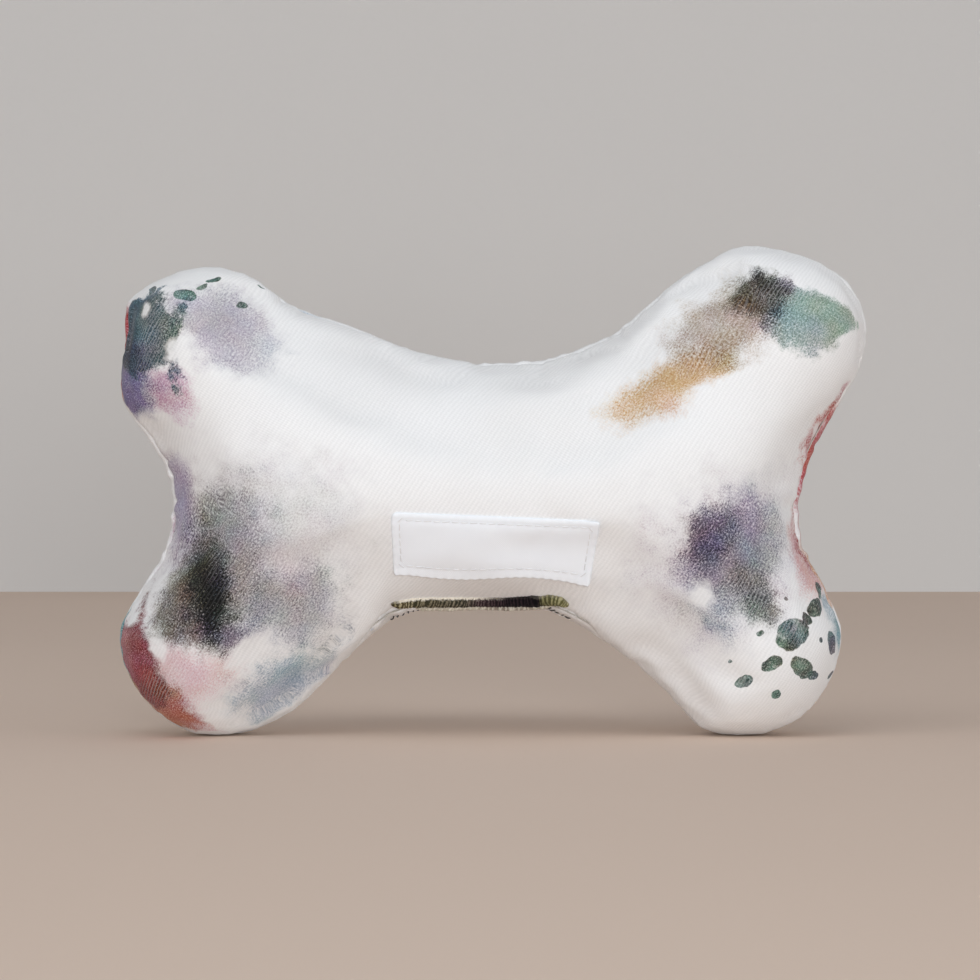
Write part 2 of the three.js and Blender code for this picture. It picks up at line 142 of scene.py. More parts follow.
class CoverSettings(bpy.types.PropertyGroup):
    length: distance("Length", "Length of the stuffed bone", 0.19)
    height: distance("Height", "Height it stands, without its flattened feet", 0.1245)
    waist: distance("Waist", "Thickness of the stuffing in the middle", 0.0565)
    shoulder: distance("Shoulder", "Thickness where the knobs part", 0.0595)
    knob: distance("Knob", "Thickness in the middle of a knob", 0.0465)
    cloth: distance("Cloth", "Thickness of the cotton twill", 0.0006)
    allowance: distance("Seam allowance", "Width of the cloth turned inside", 0.006)
    voxel: distance("Cloth grid", "Grid of the cloth that is inflated", 0.0022)
    pressure: FloatProperty(name="Stuffing pressure", default=4.0,
                            description="Pressure of the stuffing on the cloth")
    cap: distance("Largest move", "Furthest that a point of the cloth may move", 0.0025)
    seam_depth: distance("Seam depth", "How deep the seam pulls the cloth in", 0.0009)
    pucker: distance("Puckers", "Height of the puckers beside the seam", 0.00028)
    corners: FloatProperty(name="Corners", default=0.45, subtype="FACTOR", min=0, max=1,
                           description="How straight the cloth runs between its corners")
    ground: FloatVectorProperty(name="Cloth colour", subtype="COLOR", default=(0.865, 0.865, 0.87),
                                description="Undyed ground of the print")


class LabelSettings(bpy.types.PropertyGroup):
    width: distance("Width", "Finished width of the label", 0.0514)
    height: distance("Height", "Height it takes up, seen from the front", 0.0155)
    cloth: distance("Cloth", "Thickness of the label's cotton", 0.00035)
    hem: distance("Hem", "Width of the edge turned under", 0.0042)
    inset: distance("Stitch inset", "From the edge to the line of stitches", 0.002)
    pitch: distance("Stitch pitch", "Length of one stitch with its gap", 0.0023)
    tilt: FloatProperty(name="Tilt", default=math.radians(2.4), subtype="ANGLE", unit="ROTATION",
                        description="Turn of the label, its right side lower")


class RidgeSettings(bpy.types.PropertyGroup):
    length: distance("Length", "Length of the hand-closed opening", 0.0445)
    middle: distance("Middle", "Middle of the lip along the bone", -0.0033)
    level: distance("Level", "Height of the lip above the floor", 0.0339)
    ribs: distance("Gather spacing", "Spacing of the small gathers along the lip", 0.00085)


class ThreadSettings(bpy.types.PropertyGroup):
    thickness: distance("Thickness", "Thickness of the sewing thread", 0.0003)
    pitch: distance("Seam stitch", "Stitch length of the outline seam", 0.0026)


class FillingSettings(bpy.types.PropertyGroup):
    grid: distance("Grid", "Grid of the stuffing's surface", 0.0026)
    lumps: distance("Lumps", "Depth of the hollows between handfuls", 0.0022)
    seed: IntProperty(name="Seed", description="Seed of the fibres", default=7)


class StageSettings(bpy.types.PropertyGroup):
    distance: distance("Camera distance", "From the camera to the toy", 0.8)
    lens: FloatProperty(name="Lens", description="Focal length in millimetres", default=115.4)
    wall: distance("Wall distance", "From the toy to the wall behind it", 1.12)


# Small helpers

def linear(hex_colour):
    """Linear colour of an sRGB hex value."""
    parts = [int(hex_colour[i:i + 2], 16) / 255 for i in (1, 3, 5)]
    return tuple(p / 12.92 if p <= 0.04045 else ((p + 0.055) / 1.055) ** 2.4 for p in parts) + (1.0,)


def add_node(tree, kind, *values, named=None, **settings):
    """Adds a node with its settings. The values fill its inputs in order, and those in named fill
    them by name. Each is a constant, a socket, or a node, which stands for its first output."""
    node = tree.nodes.new(kind)
    for name, value in settings.items():
        setattr(node, name, value)
    inputs = [socket for socket in node.inputs if socket.enabled]
    given = [(node.inputs[name], value) for name, value in (named or {}).items()]
    for socket, value in [*zip(inputs, values), *given]:
        if isinstance(value, bpy.types.Node):
            value = next(output for output in value.outputs if output.enabled)
        if isinstance(value, bpy.types.NodeSocket):
            tree.links.new(value, socket)
        else:
            socket.default_value = value
    return node


def new_material(name):
    """A material with an empty tree, and the function that adds a node to it."""
    material = bpy.data.materials.new(name)
    material.use_nodes = True
    material.node_tree.nodes.clear()
    return material, partial(add_node, material.node_tree)


def new_group(name, kind, inputs, output):
    """A tree of nodes, the sockets of its inputs and the function that adds a node to it. Inputs
    and output are given as a name and what kind of value it is."""
    tree = bpy.data.node_groups.new(name, kind)
    for label, value in inputs.items():
        tree.interface.new_socket(name=label, in_out="INPUT", socket_type=f"NodeSocket{value}")
    tree.interface.new_socket(name=output[0], in_out="OUTPUT", socket_type=f"NodeSocket{output[1]}")
    return tree, tree.nodes.new("NodeGroupInput").outputs, partial(add_node, tree)


def mesh_object(name, points, faces, edges=()):
    mesh = bpy.data.meshes.new(name)
    mesh.from_pydata([tuple(p) for p in points], list(edges), list(faces))
    mesh.validate()
    mesh.update()
    made = bpy.data.objects.new(name, mesh)
    bpy.context.scene.collection.objects.link(made)
    return made


@contextmanager
def opened(mesh):
    """The mesh opened for editing, and written back at the end."""
    work = bmesh.new()
    work.from_mesh(mesh)
    yield work
    work.to_mesh(mesh)
    work.free()


def evaluated_copy(source, name):
    """A plain mesh object of the source as its modifiers leave it. The source is removed."""
    bpy.context.view_layer.update()
    graph = bpy.context.evaluated_depsgraph_get()
    mesh = bpy.data.meshes.new_from_object(source.evaluated_get(graph))
    made = bpy.data.objects.new(name, mesh)
    bpy.context.scene.collection.objects.link(made)
    bpy.data.meshes.remove(source.data)
    made.name = mesh.name = name
    return made


def thickened(sheet, thickness):
    """The sheet given its thickness, inwards, and shaded smooth."""
    wall = sheet.modifiers.new("Cloth", "SOLIDIFY")
    wall.thickness = thickness
    wall.offset = -1
    sheet = evaluated_copy(sheet, sheet.name)
    smooth_shade(sheet)
    return sheet


def even_grid(source, name, size):
    """The source remade with an even grid of faces."""
    grid = source.modifiers.new("Even grid", "REMESH")
    grid.mode = "VOXEL"
    grid.voxel_size = size
    return evaluated_copy(source, name)


def vertex_array(mesh):
    points = np.empty(len(mesh.vertices) * 3)
    mesh.vertices.foreach_get("co", points)
    return points.reshape(-1, 3)


def write_vertices(mesh, points):
    mesh.vertices.foreach_set("co", np.asarray(points, float).ravel())
    mesh.update()


def write_attribute(mesh, name, values):
    """A vector for each vertex, which a material or a node tree reads by its name."""
    held = mesh.attributes.new(name, "FLOAT_VECTOR", "POINT")
    held.data.foreach_set("vector", np.asarray(values, float).ravel())


def vertex_normals(mesh):
    normals = np.empty(len(mesh.vertices) * 3)
    mesh.vertex_normals.foreach_get("vector", normals)
    return normals.reshape(-1, 3)


def smooth_shade(made):
    made.data.polygons.foreach_set("use_smooth", [True] * len(made.data.polygons))
    made.data.update()


def set_material(made, material):
    made.data.materials.clear()
    made.data.materials.append(material)


def dress(piece, node, body="cover", keep=FLATTENED):
    """Hangs the piece on the empty of the body that it rides on and hides the CAD solid that it
    stands for. A piece given a share to keep gets its own copy of its mesh; the size of the share is
    not used."""
    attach(piece, body)
    if node:
        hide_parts(node)
    if keep:
        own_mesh(piece)


def smoothstep(low, high, value):
    t = np.clip((value - low) / (high - low), 0, 1)
    return t * t * (3 - 2 * t)


def hump(value, middle, width):
    """A smooth hump, 1 high."""
    return np.exp(-(((value - middle) / width) ** 2))


def noise_at(points, size, offset=0.0):
    """Smooth noise from -1 to 1 at each point, with features of the given size."""
    return np.array([noise.noise(Vector(p) / size + Vector((offset, 0, 0))) for p in points])


def surface_tree(points, faces):
    return BVHTree.FromPolygons([tuple(p) for p in points], faces)


def point_tree(points):
    tree = KDTree(len(points))
    for index, point in enumerate(points):
        tree.insert(point, index)
    tree.balance()
    return tree


def from_front(tree, x, z):
    """Where a line from the front meets the surface, and the direction it faces there."""
    return tree.ray_cast(Vector((x, -AHEAD, z)), Vector((0, 1, 0)))[:2]


def shares(steps):
    """Even steps from -1 to 1."""
    return [step / steps * 2 - 1 for step in range(steps + 1)]


# Outline of the bone

def catmull_rom(controls, at):
    """Point of the closed centripetal curve through the controls, at a share of its length."""
    count = len(controls)
    whole = at * count
    first = int(math.floor(whole))
    t = whole - first
    p = [controls[(first + k) % count] for k in (-1, 0, 1, 2)]
    gap = [max(float(np.linalg.norm(p[k + 1] - p[k])) ** 0.5, 1e-9) for k in range(3)]
    start = (p[1] - p[0]) / gap[0] - (p[2] - p[0]) / (gap[0] + gap[1]) + (p[2] - p[1]) / gap[1]
    end = (p[2] - p[1]) / gap[1] - (p[3] - p[1]) / (gap[1] + gap[2]) + (p[3] - p[2]) / gap[2]
    start, end = start * gap[1], end * gap[1]
    return (
        p[1] + start * t
        + (-3 * p[1] + 3 * p[2] - 2 * start - end) * t * t
        + (2 * p[1] - 2 * p[2] + start + end) * t ** 3
    )


def outline_columns(cover, waist_steps, fork_steps, round_steps):
    """Samples round the outline: place on the seam, crest point that the cloth rises to, half
    thickness there and a key that tells which crest points are the same."""
    size = np.array([cover.length, cover.height])

    def at_waist(share):
        left, right = np.array(FORKS["left"]), np.array(FORKS["right"])
        swell = math.cos(share * math.pi) ** 2
        half = (cover.waist + (cover.shoulder - cover.waist) * swell) / 2
        return ("waist", round(share * waist_steps)), (left + (right - left) * share) * size, half

    def at_knob(name, share):
        knob, step = KNOBS[name], round(share * fork_steps)
        if step == 0:
            return at_waist(0 if knob.side == "left" else 1)
        fork, middle = np.array(FORKS[knob.side]), np.array(knob.middle)
        taper = share * share * (3 - 2 * share)
        half = (cover.shoulder + (cover.knob - cover.shoulder) * taper) / 2
        return (name, step), (fork + (middle - fork) * share) * size, half

    def round_knob(name):
        knob = KNOBS[name]
        return [
            (knob.rise, fork_steps, lambda share: at_knob(name, share)),
            (knob.crown, round_steps, lambda share: at_knob(name, 1)),
            (knob.fall, fork_steps, lambda share: at_knob(name, 1 - share)),
        ]

    spans = [
        (WAIST_TOP, waist_steps, at_waist), *round_knob("upper_right"), *round_knob("lower_right"),
        (WAIST_BOTTOM, waist_steps, lambda share: at_waist(1 - share)),
        *round_knob("lower_left"), *round_knob("upper_left"),
    ]
    controls = [np.array(place) * size for span in spans for place in span[0]]
    edge, straight, crest, half, keys = [], [], [], [], []
    start = 0
    for places, steps, crest_of in spans:
        for step in range(steps):
            share = step / steps
            at = start + share * len(places)
            edge.append(catmull_rom(controls, at / len(controls)))
            before, part = int(at) % len(controls), at - int(at)
            after = (before + 1) % len(controls)
            straight.append(controls[before] * (1 - part) + controls[after] * part)
            for kept, value in zip((keys, crest, half), crest_of(share)):
                kept.append(value)
        start += len(places)
    edge, crest = np.array(edge), np.array(crest)
    low, high = edge.min(0), edge.max(0)
    edge = edge + (np.array(straight) - edge) * cover.corners
    target_low = np.array([-cover.length / 2, -FOOT])
    target_high = np.array([cover.length / 2, cover.height])

    def fit(points):
        return target_low + (points - low) / (high - low) * (target_high - target_low)

    return fit(edge), fit(crest), np.array(half), keys


class Outline:
    """The seam line of the cover, closely sampled, with its outward direction and its length."""

    def __init__(self, cover):
        self.edge = outline_columns(cover, waist_steps=160, fork_steps=50, round_steps=160)[0]
        after, before = np.roll(self.edge, -1, 0), np.roll(self.edge, 1, 0)
        along = after - before
        along /= np.linalg.norm(along, axis=1)[:, None]
        # The outline runs clockwise seen from the front, so outward is to its left
        self.outward = np.stack([-along[:, 1], along[:, 0]], 1)
        steps = np.linalg.norm(after - self.edge, axis=1)
        self.run = np.concatenate([[0], np.cumsum(steps)[:-1]])
        self.around = float(steps.sum())
        # Bend over a few samples to each side, less than 0 where the outline is hollow
        reach = 6
        turn = np.cross(np.roll(along, reach, 0), np.roll(along, -reach, 0))
        chord = np.roll(self.edge, reach, 0) - np.roll(self.edge, -reach, 0)
        self.bend = -turn / np.maximum(np.linalg.norm(chord, axis=1), 1e-9)
        self.tree = point_tree([(x, 0, z) for x, z in self.edge])

    def nearest(self, points):
        """Index of the outline's nearest sample to each point, seen from the front."""
        return np.array([self.tree.find((p[0], 0, p[2]))[1] for p in points])


def stuffed_form(cover):
    """Closed form of the stuffed bone: every section from the seam to the crest is a quarter of an
    ellipse, so the front and the back meet in a round edge."""
    edge, crest, half, keys = outline_columns(cover, waist_steps=40, fork_steps=14, round_steps=50)
    rings = 14
    points, faces, known = [], [], {}
    columns = len(edge)
    for i in range(columns):
        for ring in range(-rings + 1, rings):
            angle = ring / rings * math.pi / 2
            place = edge[i] + (crest[i] - edge[i]) * (1 - math.cos(angle))
            points.append((place[0], half[i] * math.sin(angle), place[1]))
    per_column = 2 * rings - 1

    def crest_index(i, side):
        key = (keys[i], side)
        if key not in known:
            known[key] = len(points)
            points.append((crest[i][0], side * half[i], crest[i][1]))
        return known[key]

    for i in range(columns):
        j = (i + 1) % columns
        a, b = i * per_column, j * per_column
        for ring in range(per_column - 1):
            faces.append((a + ring, a + ring + 1, b + ring + 1, b + ring))
        for side, ring in ((-1, 0), (1, per_column - 1)):
            near, far = crest_index(i, side), crest_index(j, side)
            face = (near, a + ring, b + ring, far) if side < 0 else (a + ring, near, far, b + ring)
            faces.append(tuple(dict.fromkeys(face)))
    return mesh_object("stuffed_form", points, faces)


def inflate(form, cover, pinned):
    """Cloth simulation: the stuffing presses on the cloth, which is held along its seam."""
    scene = bpy.context.scene
    rest = vertex_array(form.data)
    group = form.vertex_groups.new(name="seam")
    for index, weight in enumerate(pinned):
        if weight > 0:
            group.add([index], float(weight), "REPLACE")
    cloth = form.modifiers.new("Inflate", "CLOTH")
    for name, value in {
        "quality": 6, "mass": 0.3, "air_damping": 2, "tension_stiffness": 25,
        "compression_stiffness": 12, "shear_stiffness": 8, "bending_stiffness": 0.8,
        "shrink_min": -0.035, "use_pressure": True, "uniform_pressure_force": cover.pressure,
        "vertex_group_mass": "seam", "pin_stiffness": 10,
    }.items():
        setattr(cloth.settings, name, value)
    cloth.settings.effector_weights.gravity = 0
    cloth.collision_settings.use_collision = False
    frames = 20
    cloth.point_cache.frame_start = 1
    cloth.point_cache.frame_end = frames
    for step in range(1, frames + 1):
        scene.frame_set(step)
    graph = bpy.context.evaluated_depsgraph_get()
    shift = vertex_array(form.evaluated_get(graph).data) - rest
    form.modifiers.remove(cloth)
    form.vertex_groups.clear()
    scene.frame_set(1)
    far = np.linalg.norm(shift, axis=1)
    print(f"cloth moved {far.mean() / MM:.2f} mm on average, {far.max() / MM:.2f} mm at most")
    keep = cover.cap * np.tanh(far / cover.cap) / np.maximum(far, 1e-9)
    write_vertices(form.data, rest + shift * keep[:, None])


def relax(mesh, rounds, held):
    """Evens the mesh out a little, apart from the held vertices."""
    points = vertex_array(mesh)
    edges = np.array([e.vertices[:] for e in mesh.edges])
    count = np.zeros(len(points))
    np.add.at(count, edges.ravel(), 1)
    free = (1 - held)[:, None]
    for _ in range(rounds):
        total = np.zeros_like(points)
        np.add.at(total, edges[:, 0], points[edges[:, 1]])
        np.add.at(total, edges[:, 1], points[edges[:, 0]])
        points += 0.5 * free * (total / count[:, None] - points)
    write_vertices(mesh, points)


def stuffed_cloth(cover):
    """The whole cover as one smooth form, pressed out by its stuffing and flat where it stands."""
    form = even_grid(stuffed_form(cover), "cover_form", cover.voxel)
    rise = np.abs(vertex_array(form.data)[:, 1])
    near_seam = 1.3 * MM
    held = (rise < near_seam).astype(float)
    relax(form.data, rounds=3, held=held)
    inflate(form, cover, 1 - smoothstep(near_seam, 3.2 * MM, rise))
    relax(form.data, rounds=2, held=held)
    points = vertex_array(form.data)
    level = points[:, 2]
    points[:, 2] = np.where(level < FOOT, FOOT * np.exp((level - FOOT) / MM), level)
    write_vertices(form.data, points)
    finer = form.modifiers.new("Finer", "SUBSURF")
    finer.levels = finer.render_levels = 1
    return evaluated_copy(form, "cover_form")


def seam_offsets(outline, tree, ridge):
    """How far in front of the middle plane the seam runs, for each sample of the outline. It
    wanders, lies further forward round the knobs, and under the waist it follows the lip."""
    offsets = []
    half = ridge.length / 2
    for x, z in outline.edge:
        wander = noise.noise(Vector((x, 0, z)) / (30 * MM) + Vector((4.2, 0, 0)))
        offset = (-1.2 + 2.2 * wander) * MM - 3.0 * MM * smoothstep(50 * MM, 85 * MM, abs(x))
        along = abs(x - ridge.middle)
        if z < 45 * MM and along < half + 14 * MM:
            hit = from_front(tree, x, ridge.level)[0]
            share = 1 - smoothstep(half - 2 * MM, half + 12 * MM, along)
            if hit is not None:
                offset += (hit.y + 3 * MM - offset) * share
        offsets.append(offset)
    return np.array(offsets)


def cut_across(work, height, facing, **kept):
    """Cuts the faces of a mesh with a plane square to Y."""
    bmesh.ops.bisect_plane(
        work, geom=work.verts[:] + work.edges[:] + work.faces[:], dist=1e-6,
        plane_co=(0, height, 0), plane_no=(0, facing, 0), **kept,
    )


def add_rows(form, heights):
    """Cuts rows of edges round the form at heights from the seam, for fine seam detail."""
    with opened(form.data) as work:
        for height in heights:
            # A vertex close to the row moves onto it, so that no sliver is cut off
            for vertex in work.verts:
                if abs(vertex.co.y - height) < 0.12 * MM:
                    vertex.co.y = height
            cut_across(work, height, 1)


def half_of(form, side, gap):
    """Points, faces and seam edges of the form on one side of its seam. Each seam edge runs as its
    face does."""
    made = bmesh.new()
    made.from_mesh(form.data)
    cut_across(made, side * gap, -side, clear_outer=True)
    made.verts.index_update()
    points = np.array([v.co[:] for v in made.verts])
    faces = [tuple(v.index for v in f.verts) for f in made.faces]
    rim = [
        (e.link_loops[0].vert.index, e.link_loops[0].link_loop_next.vert.index)
        for e in made.edges if e.is_boundary
    ]
    made.free()
    return points, faces, rim


def seam_detail(points, normals, rise, side, near, cover, outline):
    """Presses the seam in, puckers the cloth beside it and gives the stuffing its soft lumps.
    Returns the move of each point."""
    # Lumps of the stuffing, about 26 mm and 11 mm across
    place = np.stack([points[:, 0], rise * side, points[:, 2]], 1)
    broad = noise_at(place, 26 * MM, 3.1)
    small = noise_at(place, 11 * MM, 8.4)
    away = smoothstep(1.5 * MM, 9 * MM, rise)
    lumps = (0.45 * broad + 0.1 * small) * MM * away

    # Puckers: each runs square to the seam and dies out up the side. Where the outline bends
    # inwards the cloth is pulled, so they are longer and deeper there.
    bend = outline.bend[near]
    hollow = np.clip(-bend * 22 * MM, 0, 1)
    tight = np.clip(bend * 20 * MM, 0, 1)
    strength = cover.pucker * (0.55 + 1.5 * hollow + 0.35 * tight)
    circle = outline.run[near] / outline.around * 2 * math.pi
    ring = np.stack([np.cos(circle), np.sin(circle), np.full(len(circle), side * 0.4)], 1) * 95 * MM
    wander = noise_at(ring, 9 * MM, 1.7)
    waves = np.zeros(len(points))
    for spacing, share, phase in ((5.2, 0.6, 0.4), (3.4, 0.4, 1.9), (8.3, 0.5, 2.6)):
        turns = round(outline.around / (spacing * MM))
        waves += share * np.sin(turns * circle + phase * side + 2.4 * wander)
    fade = np.exp(-rise / ((3.6 + 5.0 * hollow) * MM)) * smoothstep(0.2 * MM, 1.4 * MM, rise)
    patchy = 0.55 + 0.9 * np.clip(noise_at(ring, 24 * MM, 5.5) + 0.2, 0, 1)
    puckers = waves * strength * fade * patchy

    # The seam itself, a narrow valley, and the cloth swelling beside it
    valley = cover.seam_depth * hump(rise, 0, 0.75 * MM)
    swell = 0.16 * MM * hump(rise, 2.6 * MM, 1.5 * MM)
    return normals * (lumps + puckers + swell - valley)[:, None]


def add_allowance(points, faces, rim, normals, side, width):
    """Cloth turned inside along the seam, a little apart from that of the other panel."""
    points = list(map(tuple, points))
    ends = sorted({i for edge in rim for i in edge})
    rows = [{i: i for i in ends}]
    for depth, gap in ((0.5 * MM, 0.03 * MM), (2.0 * MM, 0.17 * MM), (width, 0.6 * MM)):
        row = {}
        for i in ends:
            row[i] = len(points)
            place = np.array(points[i]) - normals[i] * depth
            place[1] += side * gap
            points.append(tuple(place))
        rows.append(row)
    for upper, lower in zip(rows, rows[1:]):
        for a, b in rim:
            faces.append((upper[b], upper[a], lower[a], lower[b]))
    return np.array(points), faces


def flat_place(points, normals, side):
    """Where the cloth lay when it was flat: on the sides it is longer than it looks from the
    front, by the arc less the chord of its turn."""
    slope = np.arccos(np.clip(np.abs(normals[:, 1]), 0, 1))
    away = normals[:, [0, 2]]
    away = away / np.maximum(np.linalg.norm(away, axis=1), 1e-6)[:, None]
    side_radius = 30 * MM
    flat = points[:, [0, 2]] + away * (side_radius * (slope - np.sin(slope)))[:, None]
    if side > 0:
        flat[:, 0] = -flat[:, 0]
    return flat


def add_map(mesh, name, flat):
    """A UV map with one place for each vertex."""
    layer = mesh.uv_layers.new(name=name)
    index = np.empty(len(mesh.loops), np.int32)
    mesh.loops.foreach_get("vertex_index", index)
    layer.data.foreach_set("uv", np.asarray(flat)[index].ravel())


# Cotton twill with a watercolour print

def wash_group():
    """One stain of dye: soft, ragged and granulated, as wet dye dries in cotton. Sizes are in
    millimetres on the flat cloth."""
    name = "Dye stain"
    if name in bpy.data.node_groups:
        return bpy.data.node_groups[name]
    tree, given, add = new_group(name, "ShaderNodeTree", {
        "Cloth": "Vector", "Drift": "Vector", "Mottle": "Float", "Grain": "Float",
        "Centre": "Vector", "Radii": "Vector", "Turn": "Vector", "Wander": "Float",
        "Softness": "Float", "Raggedness": "Float", "Granulation": "Float", "Tide": "Float",
        "Strength": "Float",
    }, ("Amount", "Float"))
    wander = add(VECTOR, given["Drift"], given["Wander"], operation="SCALE")
    moved = add(VECTOR, given["Cloth"], wander, operation="ADD")
    placed = add("ShaderNodeMapping", moved, given["Centre"], given["Turn"], given["Radii"],
                 vector_type="TEXTURE")
    away = add(VECTOR, placed, operation="LENGTH")
    # Ragged edge: the noise moves the edge in and out, and leaves the middle alone
    shift = add(MATH, given["Mottle"], given["Raggedness"], 1.0, operation="MULTIPLY_ADD")
    rough = add(MATH, away, shift, operation="MULTIPLY")
    inner = add(MATH, 1.0, given["Softness"], operation="SUBTRACT")
    outer = add(MATH, 1.0, given["Softness"], operation="ADD")
    body = add(RANGE, rough, inner, outer, 1.0, 0.0, interpolation_type="SMOOTHSTEP")
    # Granulation: the dye gathers in specks where it is thin
    bare = add(MATH, 1.05, body, operation="SUBTRACT")
    thin = add(MATH, bare, given["Granulation"], operation="MULTIPLY")
    uneven = add(MATH, given["Mottle"], -0.8, 1.15, operation="MULTIPLY_ADD")
    cloudy = add(MATH, body, uneven, operation="MULTIPLY")
    speckled = add(MATH, given["Grain"], thin, 1.0, operation="MULTIPLY_ADD")
    dyed = add(MATH, cloudy, speckled, operation="MULTIPLY", use_clamp=True)
    # Tide line: dye carried to the edge of the wet patch as it dried
    off = add(MATH, add(MATH, rough, 1.0, operation="SUBTRACT"), operation="ABSOLUTE")
    line = add(RANGE, off, 0.0, 0.06, 1.0, 0.0, interpolation_type="SMOOTHSTEP")
    tide = add(MATH, line, given["Tide"], dyed, operation="MULTIPLY_ADD", use_clamp=True)
    add("NodeGroupOutput", add(MATH, tide, given["Strength"], operation="MULTIPLY"))
    return tree


# Stains: colour, place, radii and turn on the flat cloth in mm and degrees, then strength,
# softness, raggedness, granulation and tide line
FRONT_STAINS = [
    # Left end
    ("#cfc9cd", (-62, 46), (21, 19), 20, 0.8, 0.75, 0.8, 0.6, 0.0),
    ("#98929a", (-68, 45), (14, 16), 10, 0.85, 0.6, 1.0, 0.7, 0.0),
    ("#878c9a", (-49, 33), (9, 9), -10, 0.6, 0.65, 1.0, 0.8, 0.0),
    ("#7a6650", (-76, 36), (10, 13), 10, 0.9, 0.5, 1.0, 0.6, 0.0),
    ("#3a3230", (-71, 40), (8, 12), 15, 0.9, 0.5, 1.1, 0.7, 0.0),
    ("#151314", (-69, 35), (5, 7), -20, 0.9, 0.6, 1.2, 0.8, 0.0),
    ("#4c3a5e", (-66, 27), (6, 5), 0, 0.75, 0.6, 1.0, 0.8, 0.0),
    ("#8a74a0", (-85, 58), (7, 9), 0, 0.7, 0.6, 0.8, 0.6, 0.0),
    ("#dca3a8", (-78, 15), (11, 9), 0, 0.6, 0.7, 0.8, 0.6, 0.0),
    ("#8e1420", (-95, 20), (12, 14), 12, 0.95, 0.22, 0.9, 0.5, 0.1),
    ("#bb5a30", (-86, 2), (15, 9), -12, 0.9, 0.4, 1.0, 0.5, 0.0),
    ("#8fa3b6", (-50, 12), (13, 7), 28, 0.75, 0.55, 1.0, 0.7, 0.15),
    ("#1c4e58", (-93, 102), (14, 13), 6, 0.95, 0.16, 1.1, 0.5, 0.15),
    ("#5c3f80", (-98, 88), (11, 12), 0, 0.9, 0.45, 0.7, 0.5, 0.0),
    ("#b3508a", (-82, 86), (6, 6), 0, 0.65, 0.65, 0.8, 0.6, 0.0),
    ("#b3adbd", (-67, 104), (13, 8), -20, 0.8, 0.6, 1.0, 0.7, 0.15),
    # Right end
    ("#cfa050", (45, 90), (14, 5), 28, 0.8, 0.6, 0.8, 0.5, 0.25),
    ("#a3896b", (58, 104), (13, 9), 24, 0.75, 0.6, 1.0, 0.7, 0.0),
    ("#4a3526", (66, 111), (8, 6), 24, 0.9, 0.5, 1.1, 0.7, 0.0),
    ("#2a2230", (69, 114), (5, 3.5), 0, 0.8, 0.5, 1.3, 0.8, 0.0),
    ("#6f8c7c", (80, 105), (10, 7), -30, 0.8, 0.3, 1.2, 0.7, 0.2),
    ("#d2ccd3", (58, 45), (19, 15), 30, 0.8, 0.7, 0.8, 0.6, 0.0),
    ("#8c8a9d", (58, 46), (13, 11), 25, 0.8, 0.6, 1.0, 0.7, 0.0),
    ("#5f5870", (53, 51), (7, 8), -20, 0.8, 0.6, 1.0, 0.7, 0.0),
    ("#35363d", (65, 36), (6, 6), 20, 0.8, 0.55, 1.1, 0.8, 0.0),
    ("#b8332c", (95, 64), (10, 17), -6, 0.95, 0.3, 0.9, 0.5, 0.0),
    ("#d88f86", (88, 46), (7, 9), 0, 0.65, 0.6, 0.7, 0.5, 0.0),
    ("#2a8494", (102, 30), (10, 13), 0, 0.8, 0.5, 0.7, 0.4, 0.0),
]
BACK_STAINS = [
    ("#c4c2c8", (-62, 86), (24, 20), -25, 0.8, 0.7, 0.5, 0.5, 0.0),
    ("#7d8b99", (-66, 92), (18, 12), -25, 0.75, 0.55, 0.7, 0.6, 0.0),
    ("#46384d", (-77, 84), (8, 13), 10, 0.85, 0.5, 0.8, 0.6, 0.0),
    ("#c0392f", (-92, 72), (7, 18), 5, 0.9, 0.4, 0.5, 0.4, 0.1),
    ("#27565c", (-86, 22), (12, 12), 20, 0.9, 0.4, 0.6, 0.4, 0.1),
    ("#c98a4a", (-92, 44), (6, 10), 0, 0.7, 0.5, 0.5, 0.4, 0.0),
    ("#d6b274", (-58, 12), (17, 8), -15, 0.7, 0.6, 0.5, 0.4, 0.2),
    ("#bdb6ba", (58, 36), (26, 20), 15, 0.8, 0.7, 0.5, 0.5, 0.0),
    ("#6f686b", (62, 34), (17, 14), 15, 0.85, 0.55, 0.7, 0.6, 0.0),
    ("#2a2524", (68, 28), (9, 8), -20, 0.85, 0.5, 0.9, 0.7, 0.0),
    ("#a8477f", (84, 48), (8, 10), 0, 0.7, 0.6, 0.5, 0.5, 0.0),
    ("#b8362c", (100, 97), (16, 17), -4, 0.92, 0.35, 0.5, 0.35, 0.1),
    ("#93a9bf", (62, 113), (20, 10), 12, 0.75, 0.5, 0.6, 0.5, 0.0),
    ("#3e8d96", (103, 24), (13, 14), 10, 0.85, 0.45, 0.6, 0.5, 0.0),
    ("#b58338", (98, 6), (11, 7), 30, 0.8, 0.45, 0.6, 0.5, 0.0),
]
